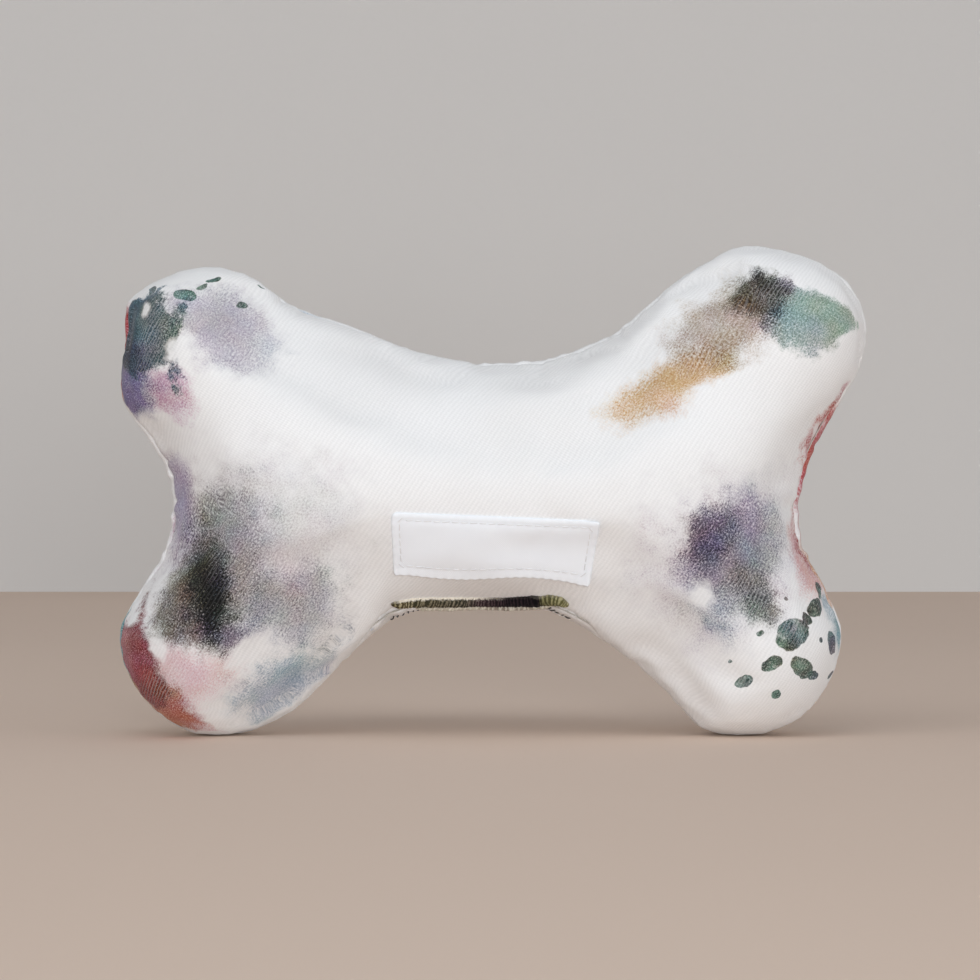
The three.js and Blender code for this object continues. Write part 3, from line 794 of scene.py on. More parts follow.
# Crisp drops of green: place and radii in mm, turn in degrees, strength
FRONT_DROPS = [
    ((75, 27), (5.4, 3.9), 34, 0.97), ((80.5, 31.5), (2.4, 1.5), 40, 0.95),
    ((84.5, 35), (2.9, 2.1), 30, 0.93), ((88, 40), (1.7, 3.1), -10, 0.9),
    ((69, 19), (3.0, 1.8), 20, 0.97), ((78, 17.5), (4.6, 2.5), -38, 0.9),
    ((82.5, 14.5), (2.0, 1.4), -30, 0.88), ((90, 24), (2.4, 4.8), 12, 0.9),
    ((62, 14), (1.9, 1.2), 12, 0.95), ((71, 10), (1.2, 1.5), 0, 0.95),
    ((93, 12), (1.5, 1.2), 0, 0.9), ((66, 26.5), (0.8, 0.7), 0, 0.9),
    ((84, 25), (0.9, 0.8), 0, 0.9), ((57.5, 18.5), (0.5, 0.4), 0, 0.85),
    ((73.5, 35.5), (0.6, 0.45), 0, 0.85), ((-77, 113), (3.6, 2.0), -25, 0.95),
    ((-72.5, 115.5), (1.6, 1.0), 25, 0.93), ((-69, 118), (2.6, 1.5), 15, 0.95),
    ((-61, 111), (1.5, 1.1), 0, 0.95), ((-56, 117), (0.9, 0.7), 0, 0.9),
    ((-89, 117), (1.7, 2.3), 0, 0.9),
]
BACK_DROPS = [
    ((-80, 106), (4.6, 3.2), 25, 0.95), ((-72, 113), (2.4, 1.8), -20, 0.95),
    ((-88, 98), (2.0, 3.0), 0, 0.9), ((-64, 108), (1.5, 1.2), 0, 0.9),
    ((76, 70), (1.8, 2.8), 20, 0.9), ((84, 76), (2.6, 1.8), -15, 0.9),
]
# Bare flecks where water lifted the dye: place, radii and turn
FRONT_LIFTS = [
    ((-84, 23), (2.2, 3.0), 30), ((-60, 22), (5.0, 2.4), 35), ((-89, 109), (1.6, 2.4), 0),
    ((-79, 97), (2.6, 2.2), 40), ((51, 36), (2.6, 3.4), -25), ((88, 72), (1.4, 2.6), 0),
]
BACK_LIFTS = [((-90, 78), (2.0, 3.4), 10), ((86, 92), (2.2, 3.0), -20), ((53, 28), (4.5, 2.2), 20)]


# Size of the noise that bends the twill lines, in millimetres
WAVER = 3.5
# How far the drift carries the edge of a stain, in millimetres
STAIN_WANDER = 19.0
# How strongly a fleck is bared, and how the flecks and the drops differ from a stain
LIFT_STRENGTH = 0.85
LIFT_LOOKS = {"Wander": 3.4, "Softness": 0.6, "Raggedness": 0.45, "Granulation": 0.5, "Tide": 0.0}
DROP_LOOKS = {"Wander": 2.4, "Softness": 0.06, "Raggedness": 0.15, "Granulation": 0.15, "Tide": 0.04}


def threads_of(add, cloth):
    """The twill: wales 1 mm apart that lean 57 degrees, crossed by finer rows 0.58 mm apart. Gives
    the place across each set of threads, and its wave."""
    sets = []
    for pitch, degrees, wobble in ((1.0, 147, 0.8), (0.58, 63, 0.5)):
        angle = math.radians(degrees)
        direction = (math.cos(angle), math.sin(angle), 0)
        place = add(VECTOR, cloth, direction, operation="DOT_PRODUCT")
        slack = add(NOISE, cloth, 1 / WAVER, 3.0, 0.5)
        place = add(MATH, slack, wobble, place, operation="MULTIPLY_ADD")
        turns = add(MATH, place, 2 * math.pi / pitch, operation="MULTIPLY")
        sets.append((place, add(MATH, turns, operation="SINE")))
    return sets


def drift_of(add, cloth, size, detail):
    """How noise of a size carries the edge of a stain over the cloth."""
    level = add(VECTOR, add(NOISE, cloth, 1 / size, detail, 0.6).outputs["Color"], EVEN,
                operation="SUBTRACT")
    return add(VECTOR, level, (1.0, 1.0, 0.0), operation="MULTIPLY")


def dye_marks(add, cloth, washes, drips, stains, drops, lifts):
    """The colour that the stains, then the bare flecks, then the drops leave on white cloth."""
    group = wash_group()

    def mark(shared, looks, place, radii, degrees, strength):
        return add("ShaderNodeGroup", node_tree=group, named={
            **shared, **looks, "Centre": (*place, 0), "Radii": (*radii, 1),
            "Turn": (0, 0, math.radians(degrees)), "Strength": strength,
        })

    ink = WHITE
    for dye, place, radii, degrees, strength, soft, ragged, grit, tide in stains:
        looks = {"Wander": STAIN_WANDER, "Softness": soft, "Raggedness": ragged, "Granulation": grit,
                 "Tide": tide}
        amount = mark(washes, looks, place, radii, degrees, strength)
        ink = add(MIX, amount, ink, linear(dye), data_type="RGBA", blend_type="MULTIPLY")
    for place, radii, degrees in lifts:
        amount = mark(drips, LIFT_LOOKS, place, radii, degrees, LIFT_STRENGTH)
        ink = add(MIX, amount, ink, WHITE, data_type="RGBA")
    mixed = add(RANGE, add(NOISE, cloth, 1 / 5, 4.0, 0.6), 0.42, 0.62)
    green = add(MIX, mixed, linear("#183431"), linear("#5a7f76"), data_type="RGBA")
    for place, radii, degrees, strength in drops:
        amount = mark(drips, DROP_LOOKS, place, radii, degrees, strength)
        ink = add(MIX, amount, ink, green, data_type="RGBA")
    return ink


def ink_film(add, cloth, ink, grain, mottle, wale):
    """The ink as one film, thicker on some threads than on others, whose pigments part a little.
    It is raised to a power, so that bare cloth stays bare."""
    depth = add(MATH, grain, 0.6, 1.0, operation="MULTIPLY_ADD")
    depth = add(MATH, mottle, 1.1, depth, operation="MULTIPLY_ADD")
    parted = add(VECTOR, add(NOISE, cloth, 1 / 11, 2.0, 0.5).outputs["Color"], EVEN,
                 operation="SUBTRACT")
    parted = add(VECTOR, parted, (0.65, 0.25, 0.65), operation="MULTIPLY")
    depth = add(VECTOR, parted, depth, operation="ADD")
    depth = add(VECTOR, depth, (0.3, 0.3, 0.3), operation="MAXIMUM")
    ink = add(VECTOR, ink, depth, operation="POWER")
    # The ink misses some of the low threads, more in some places than in others
    missed = add(MATH, add(RANGE, wale, 0.0, 1.0, 0.0, 0.26),
                 add(RANGE, add(NOISE, cloth, 1 / 16, 2.0, 0.5), 0.45, 0.65, 0.1, 1.0),
                 operation="MULTIPLY")
    return add(MIX, missed, ink, WHITE, data_type="RGBA")


def twill_material(name, ground, stains, drops, lifts, seed):
    """Cotton twill, piece-dyed white and printed with pigment: dull, with fine slanting wales that
    catch the light, and dye that sits in soft granulated stains. Sizes are in millimetres."""
    material, add = new_material(name)
    flat = add(VECTOR, add("ShaderNodeUVMap", uv_map="cloth"), 1 / MM, operation="SCALE")
    cloth = add(VECTOR, flat, (seed * 37.0, seed * 11.0, seed * 5.0), operation="ADD")
    (across, wale), (along, row) = threads_of(add, flat)
    weave = add(MATH, row, 0.5, wale, operation="MULTIPLY_ADD")

    # Noise that the stains share: drift, mottling, and grain that runs along the wales
    mottle = add(RANGE, add(NOISE, cloth, 1 / 9, 7.0, 0.65), 0.5, 0.75, 0.0, 0.4, clamp=False)
    small = add(RANGE, add(NOISE, cloth, 1 / 3, 2.0, 0.5), 0.5, 0.75, 0.0, 0.5, clamp=False)
    threads = add(JOIN_XYZ, add(MATH, along, 1 / 0.55, operation="MULTIPLY"),
                  add(MATH, across, 1 / 0.45, operation="MULTIPLY"))
    specks = add(RANGE, add(NOISE, threads, 1.0, 2.0, 0.8), 0.5, 0.7, 0.0, 1.4, clamp=False)
    grain = add(MATH, weave, 0.22, specks, operation="MULTIPLY_ADD")
    washes = {"Cloth": flat, "Grain": grain, "Mottle": mottle, "Drift": drift_of(add, cloth, 20, 4.0)}
    drips = {"Cloth": flat, "Grain": grain, "Mottle": small, "Drift": drift_of(add, cloth, 5, 2.0)}
    ink = dye_marks(add, cloth, washes, drips, stains, drops, lifts)
    ink = ink_film(add, cloth, ink, grain, mottle, wale)

    # Ground: slightly uneven white. The colour then gets painted shade between the wales, and a little
    # tone from single threads
    tone = add(RANGE, add(NOISE, cloth, 1 / 38, 3.0, 0.5), 0.4, 0.68, 0.0, 0.3)
    ground = add(MIX, tone, ground, linear("#dfdddb"), data_type="RGBA")
    colour = add(MIX, 1.0, ground, ink, data_type="RGBA", blend_type="MULTIPLY")
    # Painted shade: darker where the weave dips between the wales
    wale_shade_and_grain = add(MATH, add(RANGE, weave, -1.5, 1.5, 0.945, 1.025, clamp=False),
                 add(RANGE, grain, -1.0, 1.0, 0.97, 1.02, clamp=False), operation="MULTIPLY")
    colour = add(VECTOR, colour, wale_shade_and_grain, operation="SCALE")

    # Bump: the wales, broken up by slubs and stray fibres 0.3 mm across
    raised = add(MATH, add(NOISE, flat, 1 / 0.3, 3.0, 0.7), 1.4, weave, operation="MULTIPLY_ADD")
    bump = add(BUMP, named={"Strength": 0.38, "Distance": 0.045 * MM, "Height": raised})
    add(OUTPUT, add(PRINCIPLED, named={
        "Base Color": colour, "Roughness": 0.82, "IOR": 1.46, "Specular IOR Level": 0.25,
        "Sheen Weight": 0.12, "Sheen Roughness": 0.45, "Normal": bump,
    }))
    return material


class DOGTOY_OT_cover_panels(bpy.types.Operator):
    """Makes the front and back panels: the stuffed bone, inflated as cloth and parted at its seam"""

    bl_idname = "dog_toy.cover_panels"
    bl_label = "Cover panels"

    def execute(self, context):
        cover = context.scene.dog_toy_cover
        form = stuffed_cloth(cover)
        outline = Outline(cover)

        # The seam is drawn on the form, and rows of edges run beside it
        tree = surface_tree(vertex_array(form.data), [tuple(f.vertices) for f in form.data.polygons])
        offsets = seam_offsets(outline, tree, context.scene.dog_toy_ridge)
        BUILT.update(form_tree=tree, outline=outline, offsets=offsets)
        points = vertex_array(form.data)
        points[:, 1] -= offsets[outline.nearest(points)]
        write_vertices(form.data, points)
        add_rows(form, [s * h * MM for s in (-1, 1) for h in (0.35, 0.75, 1.25, 1.9, 2.8)])
        seamed = vertex_array(form.data)
        smooth_points = seamed.copy()
        smooth_points[:, 1] += offsets[outline.nearest(seamed)]
        write_vertices(form.data, smooth_points)
        smooth_normals = vertex_normals(form.data)
        write_vertices(form.data, seamed)
        known = point_tree(smooth_points)

        ground = tuple(cover.ground) + (1.0,)
        prints = (("front", -1, FRONT_STAINS, FRONT_DROPS, FRONT_LIFTS, 1),
                  ("back", 1, BACK_STAINS, BACK_DROPS, BACK_LIFTS, 2))
        for face, side, *marks in prints:
            node = f"{face}_panel"
            points, faces, rim = half_of(form, side, HALF_GAP)
            rise = np.abs(points[:, 1])
            near = outline.nearest(points)
            points[:, 1] += offsets[near]
            normals = smooth_normals[[known.find(p)[1] for p in points]]
            flat = flat_place(points, normals, side)
            points = points + seam_detail(points, normals, rise, side, near, cover, outline)
            BUILT[f"{node}_tree"] = surface_tree(points, faces)
            count = len(points)
            points, faces = add_allowance(points, faces, rim, normals, side, cover.allowance)
            ends = sorted({i for edge in rim for i in edge})
            flat = np.concatenate([flat] + [flat[ends]] * ((len(points) - count) // len(ends)))
            panel = mesh_object(f"cloth_{node}", points, faces)
            add_map(panel.data, "cloth", flat)
            panel = thickened(panel, cover.cloth)
            set_material(panel, twill_material(f"Printed cotton twill, {face}", ground, *marks))
            dress(panel, node)
        bpy.data.objects.remove(form)
        return {"FINISHED"}


# Stitches and stray fibres that repeat along a path or over a surface

def arch_of(add, start, middle, end, thickness, steps, sides):
    """A thread or a fibre, bent in an arch through three points."""
    arch = add("GeometryNodeCurveQuadraticBezier", steps, start, middle, end)
    radius = add(MATH, thickness, 0.5, operation="MULTIPLY")
    section = add("GeometryNodeCurvePrimitiveCircle", sides, radius, mode="RADIUS")
    return add("GeometryNodeCurveToMesh", arch, section, named={"Fill Caps": True})


def finish_tree(add, pieces, finish):
    """Makes the instances real, shades them smooth and gives them their material."""
    real = add("GeometryNodeRealizeInstances", pieces)
    rounded = add("GeometryNodeSetShadeSmooth", real)
    add("NodeGroupOutput", add("GeometryNodeSetMaterial", rounded, named={"Material": finish}))


def stitch_tree():
    """Lays stitches along a path: each is an arched length of thread that dips at both ends."""
    name = "Stitches along a path"
    if name in bpy.data.node_groups:
        return bpy.data.node_groups[name]
    tree, given, add = new_group(name, "GeometryNodeTree", {
        "Path": "Geometry", "Pitch": "Float", "Length": "Float", "Thickness": "Float",
        "Arch": "Float", "Lean": "Float", "Unevenness": "Float", "Thread": "Material",
    }, ("Stitches", "Geometry"))
    path = add("GeometryNodeResampleCurve", add("GeometryNodeMeshToCurve", given["Path"]),
               named={"Length": given["Pitch"]}, mode="LENGTH")

    # One stitch, lying along X
    half = add(MATH, given["Length"], 0.5, operation="MULTIPLY")
    back = add(MATH, given["Length"], -0.5, operation="MULTIPLY")
    dip = add(MATH, given["Arch"], -1.0, operation="MULTIPLY")
    thread = arch_of(add, add(JOIN_XYZ, back, 0.0, dip), add(JOIN_XYZ, 0.0, 0.0, given["Arch"]),
                     add(JOIN_XYZ, half, 0.0, dip), given["Thickness"], steps=6, sides=6)

    # Turned along the path, with its back to the cloth
    up = add("GeometryNodeInputNamedAttribute", "up", data_type="FLOAT_VECTOR")
    laid = add(ALIGN, named={"Vector": add("GeometryNodeInputTangent")}, axis="X")
    faced = add(ALIGN, laid, named={"Vector": up}, axis="Z", pivot_axis="X")
    wobble = add(RANDOM, -0.12, 0.12, named={"Seed": 5}, data_type="FLOAT")
    lean = add(MATH, add(MATH, wobble, given["Unevenness"], operation="MULTIPLY"), given["Lean"],
               operation="ADD")
    turned = add(TURN, faced, add(JOIN_XYZ, 0.0, 0.0, lean), rotation_space="LOCAL")
    sizes = add(RANDOM, 0.9, 1.06, named={"Seed": 11}, data_type="FLOAT")
    placed = add(INSTANCES, path, named={
        "Instance": thread, "Rotation": turned, "Scale": add(JOIN_XYZ, sizes, 1.0, 1.0),
    })
    finish_tree(add, placed, given["Thread"])
    return tree


def fibre_tree():
    """Grows short curled fibres out of a wad of stuffing."""
    name = "Loose fibres"
    if name in bpy.data.node_groups:
        return bpy.data.node_groups[name]
    tree, given, add = new_group(name, "GeometryNodeTree", {
        "Wad": "Geometry", "Density": "Float", "Length": "Float", "Thickness": "Float",
        "Seed": "Int", "Fibre": "Material",
    }, ("Wad", "Geometry"))
    points = add("GeometryNodeDistributePointsOnFaces", given["Wad"], distribute_method="RANDOM",
                 named={"Density": given["Density"], "Seed": given["Seed"]})
    half = add(MATH, given["Length"], 0.5, operation="MULTIPLY")
    back = add(MATH, given["Length"], -0.5, operation="MULTIPLY")
    lift = add(MATH, given["Length"], 0.22, operation="MULTIPLY")
    fibre = arch_of(add, add(JOIN_XYZ, back), add(JOIN_XYZ, 0.0, half, lift), add(JOIN_XYZ, half),
                    given["Thickness"], steps=5, sides=3)
    spin = add(RANDOM, 0.0, 2 * math.pi, named={"Seed": 3}, data_type="FLOAT")
    turned = add(TURN, points.outputs["Rotation"], add(JOIN_XYZ, 0.0, 0.0, spin),
                 rotation_space="LOCAL")
    placed = add(INSTANCES, points, named={"Instance": fibre, "Rotation": turned})
    both = add("GeometryNodeJoinGeometry", placed)
    tree.links.new(given["Wad"], both.inputs[0])
    finish_tree(add, both, given["Fibre"])
    return tree


def made_by_nodes(source, name, tree, **values):
    """Runs a node tree on the source, with each input set by its socket's identifier, and returns
    the result as a plain mesh object."""
    nodes = source.modifiers.new("Nodes", "NODES")
    nodes.node_group = tree
    sockets = {s.name: s.identifier for s in tree.interface.items_tree if s.in_out == "INPUT"}
    for label, value in values.items():
        nodes[sockets[label]] = value
    return evaluated_copy(source, name)


def stitched_path(name, points, ups, closed, tree_values):
    """Stitches along the points, each with the direction that its cloth faces there."""
    count = len(points)
    edges = [(i, i + 1) for i in range(count - 1)] + ([(count - 1, 0)] if closed else [])
    path = mesh_object(f"{name}_path", points, [], edges)
    write_attribute(path.data, "up", ups)
    return made_by_nodes(path, name, stitch_tree(), **tree_values)


def thread_material(name, colour, shade):
    """Spun polyester sewing thread: two plies twisted together, slightly glossy."""
    material, add = new_material(name)
    place = add("ShaderNodeTexCoord").outputs["Object"]
    ply = add("ShaderNodeTexWave", place, 1 / (9 * MM), 1.5, 1.0,
              wave_type="BANDS", bands_direction="DIAGONAL").outputs["Fac"]
    lint = add(NOISE, place, 1 / (0.4 * MM))
    mix = add(MATH, ply, lint, operation="MULTIPLY")
    tone = add(MIX, mix, linear(colour), linear(shade), data_type="RGBA")
    bump = add(BUMP, named={"Strength": 0.5, "Distance": 0.05 * MM, "Height": ply})
    add(OUTPUT, add(PRINCIPLED, named={
        "Base Color": tone, "Roughness": 0.55, "IOR": 1.53, "Sheen Weight": 0.2, "Normal": bump,
    }))
    return material


class DOGTOY_OT_outline_seam(bpy.types.Operator):
    """Sews the two panels together inside: the needle thread and the bobbin thread of the lockstitch"""

    bl_idname = "dog_toy.outline_seam"
    bl_label = "Outline seam"

    def execute(self, context):
        thread = context.scene.dog_toy_thread
        cover = context.scene.dog_toy_cover
        outline, offsets = BUILT["outline"], BUILT["offsets"]
        finish = thread_material("Spun polyester thread, pale", "#c4c1ba", "#9b978f")
        inset = cover.seam_depth + 0.9 * MM
        # The threads lie on the turned-in cloth, which gapes a little
        lift = HALF_GAP + 0.1 * MM + cover.cloth + 0.06 * MM
        lowest = 1.0 * MM
        for node, side in (("seam_needle_thread", -1), ("seam_bobbin_thread", 1)):
            points = []
            for i in range(0, len(outline.edge), 2):
                x, z = outline.edge[i] - outline.outward[i] * inset
                points.append((x, offsets[i] + side * lift, max(z, lowest)))
            stitches = stitched_path(f"{node}_stitches", points, [(0, side, 0)] * len(points), True, {
                "Pitch": thread.pitch, "Length": thread.pitch * 0.97, "Thickness": thread.thickness,
                "Arch": 0.12 * MM, "Lean": 0.05, "Unevenness": 0.5, "Thread": finish,
            })
            dress(stitches, node)
        return {"FINISHED"}


# The lip under the waist, where the toy was turned and stuffed and then sewn shut by hand

def colours_along(add, share, stops):
    """The colour at a share from 0 to 1, from a list of (place, colour)."""
    ramp = add("ShaderNodeValToRGB", share)
    kept = ramp.color_ramp.elements
    while len(kept) > 1:
        kept.remove(kept[-1])
    kept[0].position, kept[0].color = stops[0][0], linear(stops[0][1])
    for at, colour in stops[1:]:
        kept.new(at).color = linear(colour)
    return ramp


def lip_material(name, grooves, crests, rim):
    """The same twill seen on a tight fold: the print fills the grooves between its gathers and the
    crests show paler threads, which is also painted shade in the grooves and painted highlight on
    the crests, and the top of the fold is lightened to cream as a painted highlight. The attribute
    fold holds the share along the lip, the turn round it in half turns and the count of gathers."""
    material, add = new_material(name)
    place = add("ShaderNodeTexCoord").outputs["Object"]
    fold = add("ShaderNodeAttribute", attribute_name="fold").outputs["Vector"]
    axes = add("ShaderNodeSeparateXYZ", fold).outputs
    speck = add(NOISE, place, 1 / (0.5 * MM), 3.0, 0.7)
    drift = add(NOISE, place, 1 / (3 * MM), 3.0, 0.6)
    uneven = add(MATH, speck, 0.5, operation="SUBTRACT")
    along = add(MATH, add(MATH, drift, 0.5, operation="SUBTRACT"), 0.08, axes["X"],
                operation="MULTIPLY_ADD")
    gather = add(MATH, add(MATH, axes["Z"], 2 * math.pi, operation="MULTIPLY"), operation="SINE")
    crest = add(RANGE, add(MATH, uneven, 6.0, gather, operation="MULTIPLY_ADD"), -0.6, 1.6,
                interpolation_type="SMOOTHSTEP")
    # Crests paler and grooves darker: partly print, partly painted highlight on the crests and painted
    # shade in the grooves
    body = add(MIX, crest, colours_along(add, along, grooves), colours_along(add, along, crests),
               data_type="RGBA")
    # Painted highlight: the top of the fold is lightened towards cream (#e9e2d4), as strongly as the
    # highlight ramp gives along the lip
    high = add(RANGE, add(MATH, uneven, 0.35, axes["Y"], operation="MULTIPLY_ADD"), 0.36, 0.48,
               interpolation_type="SMOOTHSTEP")
    top_highlight_strength = add("ShaderNodeSeparateColor", colours_along(add, along, rim))
    painted_top_highlight = add(MATH, high, top_highlight_strength, operation="MULTIPLY")
    colour = add(MIX, painted_top_highlight, body, linear("#e9e2d4"), data_type="RGBA")
    bump = add(BUMP, named={"Strength": 0.6, "Distance": 0.1 * MM, "Height": speck})
    add(OUTPUT, add(PRINCIPLED, named={
        "Base Color": colour, "Roughness": 0.9, "IOR": 1.46, "Specular IOR Level": 0.12,
        "Sheen Weight": 0.03, "Normal": bump,
    }))
    return material


# Shape of the lip from its left to its right end: share of its half length, then how far its
# middle lies above its level and its half height, in mm
LIP_SHAPE = [
    (-1.0, -0.5, 0.8), (-0.85, -0.2, 1.25), (-0.6, 0.15, 1.6), (0.0, 0.1, 1.7), (0.3, 0.1, 1.9),
    (0.6, 0.4, 2.2), (0.8, 0.7, 2.0), (0.9, 0.45, 1.5), (1.0, -0.9, 0.85),
]
# Colours along the lip, as its share and its colour: in the grooves and on the crests, whose
# contrast is partly print and partly painted shade and highlight, and how strong the painted
# highlight on the top of the fold is
FRONT_GROOVES = [
    (0.0, "#3a3322"), (0.07, "#4a4029"), (0.12, "#3b3828"), (0.4, "#33322a"), (0.5, "#35272b"),
    (0.6, "#221a1d"), (0.68, "#100b0f"), (0.83, "#0d0a0d"), (0.87, "#49482f"), (1.0, "#66633f"),
]
FRONT_CRESTS = [
    (0.0, "#8d8262"), (0.07, "#b8ac8c"), (0.14, "#8c836a"), (0.4, "#857d6c"), (0.5, "#6a5b5c"),
    (0.6, "#4a3a3e"), (0.68, "#33262b"), (0.83, "#2a2024"), (0.87, "#8d8a62"), (1.0, "#b1ab86"),
]
# Strength of the painted highlight on the top of the front lip's fold, along the lip
FRONT_TOP_HIGHLIGHT = [
    (0.0, "#707070"), (0.08, "#ffffff"), (0.48, "#ffffff"), (0.6, "#8c8c8c"), (0.68, "#303030"),
    (0.8, "#202020"), (0.86, "#707070"), (1.0, "#404040"),
]
BACK_GROOVES = [
    (0.0, "#b9b2a2"), (0.4, "#c4bdaf"), (0.62, "#8f857a"), (0.8, "#aaa296"), (1.0, "#c0bbab"),
]
BACK_CRESTS = [(0.0, "#d8d3c6"), (1.0, "#dcd8cc")]
# The back lip's fold gets its painted highlight at full strength all along
BACK_TOP_HIGHLIGHT = [(0.0, "#ffffff"), (1.0, "#ffffff")]


def lip_path(ridge, tree, steps):
    """Places along the lip on the cover, the direction that the cloth faces there and the lip's
    half height."""
    places, faces, halves = [], [], []
    at, rise, half = np.array(LIP_SHAPE).T
    for share in shares(steps):
        x = ridge.middle + share * ridge.length / 2
        level = ridge.level + float(np.interp(share, at, rise)) * MM
        hit, normal = from_front(tree, x, level)
        places.append(np.array(hit))
        faces.append(np.array(normal))
        halves.append(float(np.interp(share, at, half)) * MM)
    return np.array(places), np.array(faces), np.array(halves)


def roll(name, places, faces, halves, deep, gather, seed, tip):
    """A folded and gathered roll of cloth along the places, rounded off at both ends."""
    around, points, polygons, folds = 30, [], [], []
    count = len(places)
    steps = np.linalg.norm(np.diff(places, axis=0), axis=1)
    run = np.concatenate([[0], np.cumsum(steps)])
    for i, at in enumerate(run):
        along = places[min(i + 1, count - 1)] - places[max(i - 1, 0)]
        along /= np.linalg.norm(along)
        out = faces[i] - along * faces[i].dot(along)
        out /= np.linalg.norm(out)
        side = np.cross(along, out)
        end = min(at, run[-1] - at)
        taper = math.sqrt(max(1 - (1 - min(end / tip, 1)) ** 2, 0.0004))
        wobble = 0.9 * noise.noise(Vector((at / (2 * MM), seed, 0)))
        for k in range(around):
            angle = 2 * math.pi * k / around
            high, forward = math.sin(angle), math.cos(angle)
            # Gathers slant a little round the roll
            turns = at / gather + 0.27 * high + wobble
            rib = 0.06 * math.sin(2 * math.pi * turns)
            rib += 0.1 * noise.noise(Vector((at / (1.6 * MM), forward * 1.3, high * 1.3 + seed)))
            slow = 0.14 * noise.noise(Vector((at / (7 * MM), 7.7 + seed, high * 0.5)))
            size = taper * (1 + rib + slow)
            points.append(places[i] + out * (deep * size * forward) + side * (halves[i] * size * high))
            turned_by = (2 * math.pi - angle if angle > math.pi else -angle) / math.pi
            folds.append((i / (count - 1), turned_by, turns))
    for i in range(count - 1):
        here, after = i * around, (i + 1) * around
        for k in range(around):
            m = (k + 1) % around
            polygons.append((here + k, here + m, after + m, after + k))
    polygons.append(tuple(range(around))[::-1])
    polygons.append(tuple((count - 1) * around + k for k in range(around)))
    made = mesh_object(name, points, polygons)
    write_attribute(made.data, "fold", folds)
    with opened(made.data) as work:
        bmesh.ops.recalc_face_normals(work, faces=work.faces[:])
    smooth_shade(made)
    return made


class DOGTOY_OT_closing_lip(bpy.types.Operator):
    """Folds the lip of cloth under the waist and whips it shut with dark thread"""

    bl_idname = "dog_toy.closing_lip"
    bl_label = "Closing lip"

    def execute(self, context):
        ridge = context.scene.dog_toy_ridge
        places, faces, halves = lip_path(ridge, BUILT["front_panel_tree"], steps=380)
        front = lip_material("Printed cotton twill, folded", FRONT_GROOVES, FRONT_CRESTS, FRONT_TOP_HIGHLIGHT)
        back = lip_material(
            "Printed cotton twill, folded, back", BACK_GROOVES, BACK_CRESTS, BACK_TOP_HIGHLIGHT)
        # The back roll is the shorter, 50 and 34 steps in from the ends, and lies behind the front
        rolls = (
            ("closing_lip_front", slice(0, None), (0, -0.8, 0.1), 1, 1.45 * MM, ridge.ribs, 1.3, front),
            ("closing_lip_back", slice(50, -34), (0, 1.6, -1.0), 0.72, 1.4 * MM, 1.6 * MM, 6.1, back),
        )
        for name, kept, shift, tall, deep, gather, seed, finish in rolls:
            moved = places[kept] + np.array(shift) * MM
            lip = roll(name, moved, faces[kept], halves[kept] * tall, deep, gather, seed,
                       tip=3.2 * MM)
            set_material(lip, finish)
            dress(lip, None)

        # Hand stitches in black thread lie behind the lip, on the underside of the waist, and come
        # forward past both of its ends
        points, ups = [], []
        for share in shares(160):
            x = ridge.middle + share * ridge.length / 2
            forward = 4.6 * MM - 1.2 * MM * smoothstep(0.7, 0.88, abs(share))
            below = Vector((x, -forward, -10 * MM))
            hit, normal = BUILT["form_tree"].ray_cast(below, Vector((0, 0, 1)))[:2]
            points.append(hit + normal * 0.25 * MM)
            ups.append(normal)
        stitches = stitched_path("closing_stitches", points, ups, False, {
            "Pitch": 1.4 * MM, "Length": 2.2 * MM, "Thickness": 0.36 * MM, "Arch": 0.3 * MM,
            "Lean": 1.05, "Unevenness": 2.0,
            "Thread": thread_material("Spun polyester thread, black", "#141416", "#2c2c30"),
        })
        dress(stitches, "closing_thread")
        return {"FINISHED"}


# Label

def label_material(name):
    """Plain-woven cotton tape, bleached and pressed: whiter and smoother than the twill, its fine
    square weave 0.5 mm apart, drawn a little coarser than real so that it shows. Sizes are in
    millimetres."""
    material, add = new_material(name)
    cloth = add(VECTOR, add("ShaderNodeUVMap", uv_map="cloth"), 1 / MM, operation="SCALE")
    axes = add("ShaderNodeSeparateXYZ", cloth).outputs
    threads = []
    for axis in (axes["X"], axes["Y"]):
        turns = add(MATH, axis, 2 * math.pi / 0.5, operation="MULTIPLY")
        threads.append(add(MATH, turns, operation="SINE"))
    weave = add(MATH, *threads, operation="MULTIPLY")
    slub = add(NOISE, cloth, 1 / 0.6, 3.0, 0.7)
    height = add(MATH, slub, 1.2, weave, operation="MULTIPLY_ADD")
    wash = add(MIX, add(NOISE, cloth, 1 / 9, 2.0), linear("#f6faff"), linear("#f0f4fa"),
               data_type="RGBA")
    # The colour gets painted shade where the weave's threads dip
    colour = add(VECTOR, wash, add(RANGE, weave, -1.0, 1.0, 0.965, 1.0), operation="SCALE")
    bump = add(BUMP, named={"Strength": 0.35, "Distance": 0.03 * MM, "Height": height})
    add(OUTPUT, add(PRINCIPLED, named={
        "Base Color": colour, "Roughness": 0.78, "IOR": 1.46, "Specular IOR Level": 0.3,
        "Sheen Weight": 0.12, "Normal": bump,
    }))
    return material


def spread_out(grid, rounds):
    """The grid of values, each evened out with its neighbours."""
    for _ in range(rounds):
        wide = np.pad(grid, 1, mode="edge")
        grid = (wide[1:-1, :-2] + wide[1:-1, 2:] + wide[:-2, 1:-1] + wide[2:, 1:-1] + 2 * grid) / 6
    return grid


